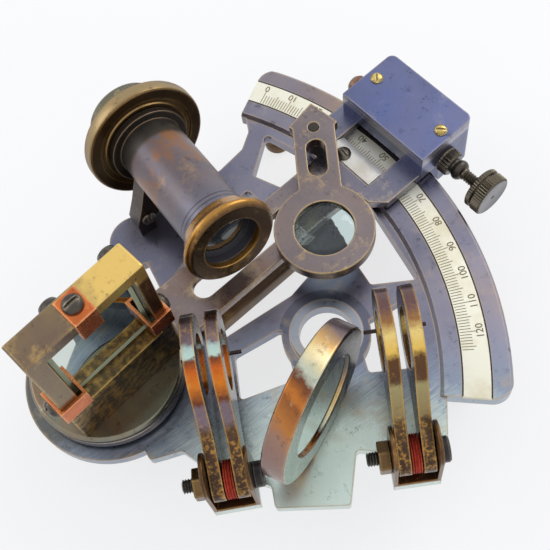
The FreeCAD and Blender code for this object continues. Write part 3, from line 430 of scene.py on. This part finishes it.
tick_start, tick_half = 70.5, 0.075
ticks = []
for value in range(0, 127):
    length = 3.2 if value % 10 == 0 else 2.9 if value % 5 == 0 else 2.3
    ticks.append(spoke(scale_turn(value), tick_start, tick_start + length, tick_half, TOP + SKIN))
marks("scale_marks", ticks, "frame", cut_brown)

joint_start, joint_span, joint_steps, joint_skin = 122.3, 73.1, 120, 0.015
joints = []
for step in range(joint_steps):
    first, last = [
        math.radians(joint_start - joint_span * (step + k) / joint_steps) for k in (0, 1)]
    for inner, outer in ((70.05, 70.35), (75.65, 75.95)):
        corners = ((inner, first), (inner, last), (outer, last), (outer, first))
        joints.append([
            Vector((r * math.cos(a), r * math.sin(a), TOP + joint_skin)) for r, a in corners])
marks("scale_joints", joints, "frame", joint_black)


def stamped(name, words, size, place, body):
    """A stamped number as thin flat text."""
    text = bpy.data.curves.new(name, "FONT")
    text.body = words
    text.size = size * MM
    text.align_x, text.align_y = "CENTER", "CENTER"
    text.offset = 0.02 * MM
    made = link_object(name, text, place)
    made.data.materials.append(cut_brown)
    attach(made, body)


number_size, number_radius = 2.1, 74.55 * MM
for value in range(0, 130, 10):
    turn = scale_turn(value)
    spot = Matrix.Translation((
        number_radius * math.cos(turn), number_radius * math.sin(turn), (TOP + SKIN) * MM))
    upright = Matrix.Rotation(turn + math.pi / 2, 4, "Z")
    stamped("scale_number_%d" % value, str(value), number_size, spot @ upright, "frame")

# Feet and handle: turned and milled brass, screwed to the back of the frame. Both are
# dark brown.
back_brown = aged("back_brown", seen(82, 66, 54), seen(112, 88, 66), seen(176, 140, 92),
                  60.0, 0.3, 0.4)
rounded("turned_feet", "feet", 0.2, back_brown)
rounded("handle_pillars", "handle_posts", 0.15, back_brown)
rounded("handle_bar", "handle_grip", 0.8, back_brown)


# Index arm: sheet brass, sawn, filed and browned. It turns on the stud under the disc, and its
# long slot shows a bright rubbed edge.
def arm_tones(place, small, tone):
    """Warm brown near the disc, slate blue at the window end."""
    far, brown_end = place.apart(), 46.0
    tone = (far * 0.02 - 0.95).rise(0.0, 0.5).blend(tone, seen(110, 112, 132))
    brown = place.noise(60.0, 4.0).rise(0.45, 0.65, 0.8) * (brown_end - far).rise()
    return brown.blend(tone, seen(134, 108, 90))


arm_brown = aged("browned_arm", seen(118, 106, 104), seen(138, 126, 128), seen(214, 192, 152),
                 55.0, 0.35, 0.28, arm_tones)
rounded("swinging_arm", "index_arm", 0.25, arm_brown)
rounded("pivot_pin", "pivot_stud", 0.12, arm_brown)

# Disc: the round table of the index mirror, turned in the lathe, with its upright rim painted
# dark as shade, and with olive and brown clouds on its top.
UP = (0, 0, 1)


def disc_tones(place, small, tone):
    rust = place.noise(90.0, 5.0, 0.6).rise(0.48, 0.66, 0.8)
    tone = rust.blend(tone, seen(134, 104, 80))
    # Painted shade: the upright rim of the disc is darkened.
    return (1.0 - place.facing(UP)).rise(0.8, 0.95, 0.9).blend(tone, seen(48, 42, 36))


disc_metal = aged("turned_disc", seen(112, 112, 98), seen(138, 134, 116), seen(216, 216, 194),
                  60.0, 0.05, 0.3, disc_tones)
rounded("mirror_table", "index_disc", 0.25, disc_metal)


# Index mirror: a deep gilt box frame that stands on the disc. Its top is rubbed to bright gold
# at one end, and the sill under the glass is rough and dark.
def box_tones(place, small, tone):
    """Gold at the far end of the head, mauve brown at the near end, a dark mottled sill."""
    y, z = place.part(1), place.part(2)
    gold_start, sill_top = 56.5, 36.6
    gold = (y * 0.09 + (small - 0.5) * 0.8 + 0.1).rise(0.0, 0.7)
    far_end = (z - gold_start).rise().blend(seen(96, 68, 40), seen(228, 194, 112))
    mottle = small.rise(0.44, 0.6).blend(seen(46, 34, 20), seen(146, 112, 52))
    return (sill_top - z).rise(0.0, 0.6, 0.92).blend(gold.blend(tone, far_end), mottle)


mirror_gold = aged("rubbed_gold", seen(116, 98, 84), seen(134, 116, 84), seen(216, 178, 106),
                   70.0, 0.1, 0.3, box_tones)
rounded("mirror_box", "index_mirror_frame", 0.22, mirror_gold)
mirror_metal = finish("silvered_glass", lambda place: {
    "Base_Color": place.noise(60.0).blend(seen(206, 218, 212), seen(226, 234, 228)),
}, Metallic=1.0, Roughness=0.03)
rounded("index_glass", "index_mirror_glass", 0.3, mirror_metal)
ground_edge = finish("ground_glass_edge", lambda place: {
    "Base_Color": place.noise(500.0).blend(seen(168, 180, 148), seen(206, 212, 184)),
}, Roughness=0.5)
mirror_along, mirror_out = Vector((-0.1771, 0.9842, 0)), Vector((0.9842, 0.1771, 0))
front, foot, head = 5.84, 36.3, 58.4
edge_quads = []
for left, right_end, low, high in (
        (-8.3, -7.4, foot, head), (9.8, 10.7, foot, head), (-7.4, 9.8, foot, 37.8)):
    corners = ((left, low), (right_end, low), (right_end, high), (left, high))
    edge_quads.append([
        mirror_along * x + mirror_out * front + Vector((0, 0, z)) for x, z in corners])
marks("glass_edges", edge_quads, "index_arm", ground_edge)

# Clips: three strips of bare copper, bent over the frame to hold the glass, each under one
# slotted screw. Two darker domes at the back of the frame tilt the mirror.
copper = aged("copper_strip", seen(206, 112, 58), seen(172, 86, 44), seen(244, 176, 122),
              120.0, 0.3, 0.26)
dark_metal = aged("dark_screw", seen(54, 50, 50), seen(78, 72, 66), seen(150, 140, 122),
                  200.0, 0.1, 0.34)
for clip in ("top", "left", "right"):
    rounded("copper_clip_" + clip, "mirror_clip_" + clip, 0.12, copper)
rounded("clip_screw_heads", "mirror_clip_screws", 0.1, dark_metal)
rounded("adjusting_domes", "mirror_adjust_screws", 0.12, dark_metal)


# Vernier: a small white silvered plate on the arm's ledge, bevelled towards the scale, with its
# own fine marks. One dark screw holds it.
def vernier_white(place):
    stain = place.noise(160.0, 5.0).rise(0.5, 0.75)
    return {
        "Base_Color": stain.blend(seen(236, 234, 228), seen(206, 198, 182)),
        "Roughness": place.noise(700.0) * 0.2 + 0.35,
    }


white_silver = finish("white_silver", vernier_white, Metallic=0.4)
rounded("vernier_strip", "vernier_plate", 0.08, white_silver)
rounded("vernier_fixing", "vernier_screw", 0.08, dark_metal)
arm_turn, vernier_step, vernier_top = 97, 0.62, TOP + 2.0
vernier_ticks = []
for k in range(15):
    turn = math.radians(arm_turn + (k - 7) * vernier_step)
    vernier_ticks.append(spoke(turn, 69.3, 70.6 if k % 5 else 70.9, 0.06, vernier_top))
marks("vernier_marks", vernier_ticks, "index_arm", cut_brown)


# Clamp block: a machined block on the arm's end, painted slate blue as the blue sky that it
# reflects, with a plain cover that two brass screws hold. The cover is left bare.
def blued(place, small, tone):
    """Painted sky reflection in bluer clouds on its top, and pale on the upper part of its sides.
    """
    flank_start = 25.6
    tone = place.noise(70.0, 4.0).rise(0.4, 0.7, 0.8).blend(tone, seen(94, 106, 154))
    flank = (1.0 - place.facing(UP)) * (place.part(2) - flank_start).rise(0.0, 0.6, 0.7)
    return flank.blend(tone, seen(182, 178, 184))


def slotted(place, small, tone):
    """Painted shade in the slots of the two screws, and a painted shadow round their rims."""
    slot_top = 29.42
    return (slot_top - place.part(2)).rise(0.0, 0.2, 0.9).blend(tone, seen(64, 50, 30))


# The blue in the block's tones is painted, as the blue sky reflected in its top.
block_blue = aged("block_painted_sky_sheen", seen(92, 98, 130), seen(106, 110, 144), seen(154, 150, 158),
                  45.0, 0.1, 0.3, blued)
rounded("clamp_body", "clamp_block", 0.3, block_blue)
rounded("plain_cover", "block_cover", 0.2, block_blue)
screw_gold = aged("yellow_screw", seen(206, 178, 104), seen(184, 154, 84), seen(240, 220, 156),
                  300.0, 0.4, 0.26, slotted)
rounded("cover_screw_heads", "cover_screws", 0.08, screw_gold)


# Tangent screw: a turned steel spindle with a cut thread and a knob of two knurled rims. It
# runs in a knurled collar with a ball, and a brown cap closes its far end.
def lathe(name, spot, axis, rows, steps, material, body, node, hollow=False):
    """Turns rows of (radius, run along the axis, knurl depth) about the axis, in millimetres."""
    sharp_edge = 0.5
    shape = bmesh.new()
    rings = []
    for radius, run, dip in rows:
        ring = []
        for k in range(steps):
            turn = 2 * math.pi * k / steps
            r = radius - dip * (k % 2)
            ring.append(shape.verts.new((
                r * math.cos(turn) * MM, r * math.sin(turn) * MM, run * MM)))
        rings.append(ring)
    pairs = list(zip(rings, rings[1:])) + ([(rings[-1], rings[0])] if hollow else [])
    for low, high in pairs:
        for k in range(steps):
            shape.faces.new((low[k], low[(k + 1) % steps], high[(k + 1) % steps], high[k]))
    if not hollow:
        shape.faces.new(reversed(rings[0]))
        shape.faces.new(rings[-1])
    bmesh.ops.recalc_face_normals(shape, faces=shape.faces)
    for edge in shape.edges:
        edge.smooth = edge.calc_face_angle(0) < sharp_edge
    for face in shape.faces:
        face.smooth = True
    turned = Vector(axis).to_track_quat("Z", "Y").to_matrix().to_4x4()
    shape.transform(Matrix.Translation(Vector(spot)) @ turned)
    mesh = bpy.data.meshes.new(name)
    shape.to_mesh(mesh)
    shape.free()
    mesh.materials.append(material)
    made = link_object(name, mesh)
    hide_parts(node)
    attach(made, body)


def thread(radius, start, end, pitch, depth):
    """The rows of a cut thread."""
    halves = 2 * int((end - start) / pitch)
    return [(radius - depth * (k % 2), start + (end - start) * k / halves, 0)
            for k in range(halves + 1)]


joint_facts = {joint["name"]: joint for joint in frame["joints"]}
screw_spot = joint_facts["tangent_turn"]["pos_m"]
screw_way = joint_facts["tangent_turn"]["axis"]


def turned_ends(place, small, tone):
    """Greyer on the faces that were turned across the axis."""
    return (place.facing(screw_way) - 0.8).rise(0.0, 0.15).blend(tone, seen(126, 126, 132))


steel_brown = aged("dark_steel", seen(58, 52, 50), seen(80, 72, 66), seen(112, 104, 88),
                   160.0, 0.2, 0.34, turned_ends)
spindle = [(0.6, -14.2, 0), (1.3, -14.0, 0), (1.3, 18.6, 0)] + thread(1.3, 18.7, 22.4, 0.55, 0.22)
lathe("spindle_and_knob", screw_spot, screw_way, spindle + [
    (1.3, 22.5, 0), (4.3, 22.5, 0), (4.65, 22.75, 0.22), (4.65, 23.5, 0.22), (4.4, 23.65, 0),
    (3.95, 23.7, 0), (3.95, 24.0, 0), (4.4, 24.05, 0), (4.7, 24.2, 0.25), (4.7, 26.1, 0.25),
    (4.35, 26.45, 0), (3.9, 26.5, 0), (3.7, 26.42, 0), (0.5, 26.4, 0), (0.3, 26.2, 0),
], 96, steel_brown, "tangent_screw", "tangent_screw")
ball_wide, ball_long, ball_spot = 2.3, 1.65, 17.0
ball = []
for lean in range(50, 151, 20):
    lean = math.radians(lean)
    ball.append((ball_wide * math.sin(lean), ball_spot - ball_long * math.cos(lean), 0))
lathe("knurled_collar", screw_spot, screw_way, [
    (1.35, 13.0, 0), (2.9, 13.0, 0), (2.9, 13.3, 0.3), (2.9, 15.0, 0.3), (2.5, 15.4, 0),
    (1.75, 15.6, 0), *ball, (1.35, 18.6, 0),
], 44, steel_brown, "index_arm", "screw_collar", True)
cap_brown = aged("cap_brown", seen(128, 98, 84), seen(106, 78, 64), seen(214, 168, 120),
                 150.0, 0.4, 0.3)
rounded("end_cap", "screw_cap", 0.2, cap_brown)


# Magnifier: a flat mauve arm with a dark rim and rubbed edges, and a lens in its ring. It
# swings on a dark post at the index arm's end.
def reader_tones(place, small, tone):
    """Brown clouds on the top, and a dark rim wherever the arm stands upright."""
    tone = place.noise(50.0, 4.0).rise(0.45, 0.7, 0.3).blend(tone, seen(148, 124, 106))
    return (1.0 - place.facing(UP)).rise(0.55, 0.8, 0.9).blend(tone, seen(78, 58, 40))


reader_mauve = aged("reader_mauve", seen(116, 108, 112), seen(130, 120, 122), seen(214, 182, 118),
                    80.0, 0.05, 0.3, reader_tones)
rounded("reader_arm", "magnifier_arm", 0.28, reader_mauve)
rounded("reader_post", "magnifier_post", 0.12, joint_black)
clear_glass = finish("clear_glass", lambda place: {
    "Base_Color": place.noise(40.0).blend(seen(206, 226, 226), seen(216, 232, 232)),
}, Roughness=0.02, Transmission_Weight=1.0, IOR=1.45)
rounded("reader_lens", "magnifier_lens", 0.05, clear_glass)

# Telescope: a violet grey tube with coppery patches where hands rub it, a bezel round the front
# lens with gold painted on its rim as a highlight, and a bracket that stands on the frame's ear.
scope_spot, scope_rise = Vector((-16.9, 32.3, 37.5)) * MM, math.radians(9)
scope_way = (math.cos(scope_rise), 0, math.sin(scope_rise))


def tube_tones(place, small, tone):
    """Copper and rust in the middle, blue grey and two dark grooves towards the bezel."""
    run = place.reach(tuple(scope_spot), scope_way)
    middle = (run + 10.0).rise(0.0, 0.5) * (1.0 - (run - 1.0).rise())
    rust = place.stretched(0.6, 1, 1).noise(130.0, 7.0, 0.75).rise(0.46, 0.6, 0.9) * middle
    tone = rust.blend(tone, seen(146, 100, 62))
    tone = ((run - 6.0) * 0.15).rise(top=0.6).blend(tone, seen(108, 112, 130))
    groove = (run - 11.2).folded(0.5).ramp((0.1, 1.0), (0.2, 0.0)) * (run > 10.7)
    tone = (groove * (run < 12.4) * 0.7).blend(tone, seen(62, 54, 52))
    return (run + 9.5).ramp((0.0, 0.85), (1.0, 0.0)).blend(tone, seen(62, 60, 52))


def rim_tones(place, small, tone):
    """Gold painted all round the rim as a highlight, and dark on its face."""
    return (1.0 - place.facing(scope_way)).rise(0.2, 0.5, 0.85).blend(tone, seen(178, 130, 62))


tube_metal = aged("rubbed_tube", seen(104, 96, 102), seen(124, 112, 114), seen(160, 132, 104),
                  75.0, 0.15, 0.42, tube_tones)
rim_metal = aged("rim_painted_highlight", seen(92, 68, 44), seen(70, 50, 34), seen(206, 160, 88),
                 90.0, 0.2, 0.3, rim_tones)
rounded("scope_tube", "telescope_tube", 0.15, tube_metal)
rounded("scope_bezel", "objective_ring", 0.3, rim_metal)
# Painted shade: the lenses are coloured dark for the shade inside the tube behind them.
deep_glass = finish("deep_glass", lambda place: {
    "Base_Color": place.noise(60.0).blend(seen(34, 38, 40), seen(56, 60, 62)),
}, Roughness=0.05, Coat_Weight=1.0)
rounded("front_lens", "objective_lens", 0.05, deep_glass)
bracket_dark = aged("bracket_dark", seen(38, 30, 26), seen(58, 44, 36), seen(126, 96, 70),
                    90.0, 0.1, 0.4)
rounded("scope_bracket", "telescope_bracket", 0.3, bracket_dark)
rounded("scope_screw", "telescope_screw", 0.1, dark_metal)


# Eyepiece: a draw tube that slides in the telescope, with a big brown flange, finely knurled on
# its rim and stepped on its face, and a knurled eye ring behind it.
def flange_tones(place, small, tone):
    """Brown on the face, and pale gold painted on the knurled rim as a highlight."""
    tone = place.noise(110.0, 5.0, 0.65).rise(0.45, 0.6, 0.7).blend(tone, seen(98, 68, 40))
    return (1.0 - place.facing(scope_way)).rise(0.6, 0.85, 0.85).blend(tone, seen(164, 142, 104))


flange_brown = aged("flange_brown", seen(72, 56, 38), seen(90, 72, 48), seen(176, 142, 88),
                    80.0, 0.1, 0.32, flange_tones)
lathe("scope_draw", scope_spot, scope_way, [
    (3.4, -22.7, 0), (5.6, -22.7, 0), (5.6, -18.3, 0), (12.2, -18.3, 0), (12.8, -18.0, 0),
    (13.0, -17.6, 0.13), (13.0, -15.7, 0.13), (12.8, -15.3, 0), (12.5, -15.12, 0),
    (10.4, -15.1, 0), (10.2, -15.4, 0), (9.5, -15.4, 0), (9.3, -15.1, 0), (6.05, -15.1, 0),
    (6.05, -5.0, 0), (5.25, -5.0, 0), (5.25, -18.2, 0), (3.4, -18.3, 0),
], 260, flange_brown, "eyepiece", "eyepiece_tube", True)
eye_olive = aged("eye_olive", seen(96, 94, 76), seen(122, 114, 92), seen(206, 190, 150),
                 80.0, 0.3, 0.28)
lathe("scope_eye_ring", scope_spot, scope_way, [
    (3.4, -24.9, 0), (7.6, -24.9, 0), (8.3, -24.5, 0), (8.6, -24.0, 0.16), (8.6, -21.1, 0.16),
    (8.2, -20.6, 0), (7.9, -20.5, 0), (5.6, -20.5, 0), (5.6, -22.7, 0), (3.4, -22.7, 0),
], 160, eye_olive, "eyepiece", "eye_ring", True)
rounded("eye_lens_glass", "eye_lens", 0.05, deep_glass)


# Horizon mirror: a thick round frame that stands on the web with its glass inside. Bands of
# mauve, gold, silver and copper are painted round its rim, mostly as the reflections on it.
def ring_tones(place, small, tone):
    """Bands of painted reflection round the rim, from the near side to the far one, and greyer
    faces.
    """
    ring_way = (0.891, 0.454, 0)
    run = (place.part(1) - 12.0) * 0.034 + (small - 0.5) * 0.12
    bands = run.ramp(
        (0.0, seen(128, 106, 104)), (0.16, seen(150, 118, 104)), (0.24, seen(178, 116, 58)),
        (0.34, seen(142, 86, 48)), (0.38, seen(188, 114, 48)), (0.46, seen(108, 64, 44)),
        (0.52, seen(188, 196, 180)), (0.62, seen(226, 208, 158)), (0.72, seen(200, 158, 98)),
        (0.84, seen(122, 106, 108)))
    brush = place.stretched(1, 12, 1).noise(260.0, 3.0)
    sides = run.ramp(
        (0.2, seen(168, 182, 168)), (0.6, seen(120, 122, 110)), (0.85, seen(62, 46, 40)))
    sides = (brush * 0.5).blend(sides, seen(96, 104, 98))
    return (place.facing(ring_way) - 0.8).rise(0.0, 0.1).blend(bands, sides)


ring_metal = aged("banded_ring", seen(128, 108, 84), seen(150, 120, 88), seen(224, 214, 184),
                  60.0, 0.05, 0.28, ring_tones)
rounded("horizon_frame", "horizon_ring", 0.5, ring_metal)
rounded("horizon_pane", "horizon_glass", 0.1, mirror_metal)
rounded("horizon_fixings", "horizon_screws", 0.1, dark_metal)


# Shades: two pairs of dark glasses in teardrop holders of sheet brass. Their rims are banded in
# violet, gold and copper, the bands painted as the reflections on them, and mottled dark towards
# the bolt. Their flat faces are painted dark as the shade between the holders.
def shade_finish(name, joint, turn, lean, bands):
    """The bands of painted reflection run along the holder, from its bolt at 0 to its rim at 1.
    """
    holder_long, holder_side = 31.5, 3.55
    bolt, axis = tuple(joint["pos_m"]), tuple(joint["axis"])
    turn, lean = math.radians(turn), math.radians(lean)
    way = (-math.sin(turn) * math.sin(lean), math.cos(turn) * math.sin(lean), math.cos(lean))

    def pin(place):
        """1 on the thin pin that stands out beside the holder."""
        return abs(place.reach(bolt, axis)) > holder_side

    def paint(place, small, tone):
        run = place.reach(bolt, way) / holder_long + (small - 0.5) * 0.08
        specks = small.rise(0.5, 0.62) * run.ramp((0.25, 0.8), (0.4, 0.0))
        rim = specks.blend(run.ramp(*bands), seen(176, 132, 66))
        # Painted shade: the flat faces of the holders are darkened, so that the gap between them
        # is dark.
        flat = (place.facing(axis) - 0.8).rise(0.0, 0.1)
        return flat.most(pin(place)).blend(rim, seen(52, 42, 40))

    return aged(name, seen(96, 76, 60), seen(120, 94, 66), seen(196, 156, 92),
                110.0, 0.1, 0.26, paint, dull=pin)


dark_brown, violet = seen(66, 48, 38), seen(118, 102, 110)
shade_metals = {
    # The pale teal band on the index holders is a painted highlight.
    "index": shade_finish("index_shade_bands", joint_facts["index_shade_1_tilt"], 64, 61, (
        (0.0, dark_brown), (0.32, seen(84, 62, 46)), (0.38, violet), (0.48, violet),
        (0.51, seen(104, 56, 36)), (0.62, seen(206, 118, 36)), (0.7, seen(196, 96, 34)),
        (0.76, seen(112, 60, 38)), (0.78, seen(186, 212, 204)), (0.83, seen(176, 200, 196)),
        (0.86, violet), (0.95, seen(84, 66, 66)))),
    "horizon": shade_finish("horizon_shade_bands", joint_facts["horizon_shade_1_tilt"], 62, 54, (
        (0.0, dark_brown), (0.24, seen(84, 64, 44)), (0.28, seen(136, 120, 84)),
        (0.48, seen(158, 146, 102)), (0.52, seen(88, 58, 38)), (0.66, seen(92, 64, 40)),
        (0.71, seen(224, 186, 92)), (0.8, seen(230, 204, 130)), (0.86, seen(150, 108, 66)),
        (0.93, seen(104, 78, 78)))),
}
dark_glass = finish("dark_glass", lambda place: {
    "Base_Color": place.noise(60.0).blend(seen(14, 24, 32), seen(24, 38, 48)),
}, Roughness=0.04, Coat_Weight=1.0)
for side in ("index", "horizon"):
    for row in ("1", "2"):
        rounded(side + "_shade_ring_" + row, side + "_shade_" + row, 0.3, shade_metals[side])
        rounded(side + "_shade_pane_" + row, side + "_shade_" + row + "_glass", 0.1, dark_glass)

# Forks: each pair hangs on a bolt in a bent fork of mottled brass. The bolt is black steel with
# a slotted head, a cut thread and a brass nut, and red thread is wound on it between the shades.
fork_brass = aged("fork_brass", seen(56, 40, 30), seen(80, 58, 38), seen(176, 128, 72),
                  150.0, 0.3, 0.34)
nut_brass = aged("nut_brass", seen(112, 88, 54), seen(90, 68, 44), seen(186, 152, 98),
                 160.0, 0.3, 0.3)
bolt_black = aged("bolt_black", seen(38, 36, 38), seen(60, 56, 54), seen(128, 124, 118),
                  200.0, 0.1, 0.34)


def strand_red(fact):
    """Orange red thread: each strand is bright on its crown, with painted shade between it and
    the next strand.
    """
    strand_half = 0.245

    def draw(place):
        run = place.reach(tuple(fact["pos_m"]), tuple(fact["axis"]))
        gap_shade = run.folded(strand_half).rise(0.05, 0.14)
        fibre = place.noise(1100.0, 5.0, 0.7).rise(0.35, 0.7)
        crown = fibre.blend(seen(190, 56, 34), seen(234, 104, 70))
        return {
            "Base_Color": gap_shade.blend(seen(128, 26, 16), crown),
            "Normal": place.node("Bump", None, {
                "Strength": 0.5, "Distance": 0.08 * MM, "Height": place.noise(2600.0)}),
        }

    return finish("red_thread", draw, Roughness=0.8)


for side in ("index", "horizon"):
    fact = joint_facts[side + "_shade_1_tilt"]
    rounded(side + "_fork", side + "_shade_bracket", 0.2, fork_brass)
    rounded(side + "_nut", side + "_shade_nut", 0.25, nut_brass)
    tail = [(0.9, -8.95, 0)] + thread(1.38, -8.7, -6.6, 0.52, 0.25)
    lathe(side + "_bolt", fact["pos_m"], fact["axis"], tail + [
        (1.38, -6.5, 0), (1.38, 4.5, 0), (2.35, 4.5, 0), (2.48, 4.65, 0), (2.48, 6.1, 0),
        (2.2, 6.42, 0), (0.1, 6.45, 0),
    ], 40, bolt_black, "frame", side + "_shade_bolt")
    core, end, steps = 1.42, 0.98, 20
    wound = [(core, -end, 0)]
    for k in range(steps + 1):
        swell = abs(math.sin(math.pi * k / 4))
        wound.append((3.34 + 0.4 * swell, -end + 2 * end * k / steps, 0))
    wound.append((core, end, 0))
    lathe(side + "_packing", fact["pos_m"], fact["axis"], wound, 64, strand_red(fact),
          "frame", side + "_shade_packing", True)
    cross = Vector(fact["axis"]).to_track_quat("Z", "Y").to_matrix()
    spot = Vector(fact["pos_m"])
    # Painted shade: the slot is a flat dark mark on the bolt's head, standing for the shade in
    # the cut.
    slot_face, slot_corners = 6.47, ((-2.2, -0.3), (2.2, -0.3), (2.2, 0.3), (-2.2, 0.3))
    slot = [spot / MM + cross @ Vector((x, y, slot_face)) for x, y in slot_corners]
    marks(side + "_bolt_slot", [slot], "frame", joint_black)
rounded("fork_screws", "bracket_screws", 0.1, dark_metal)
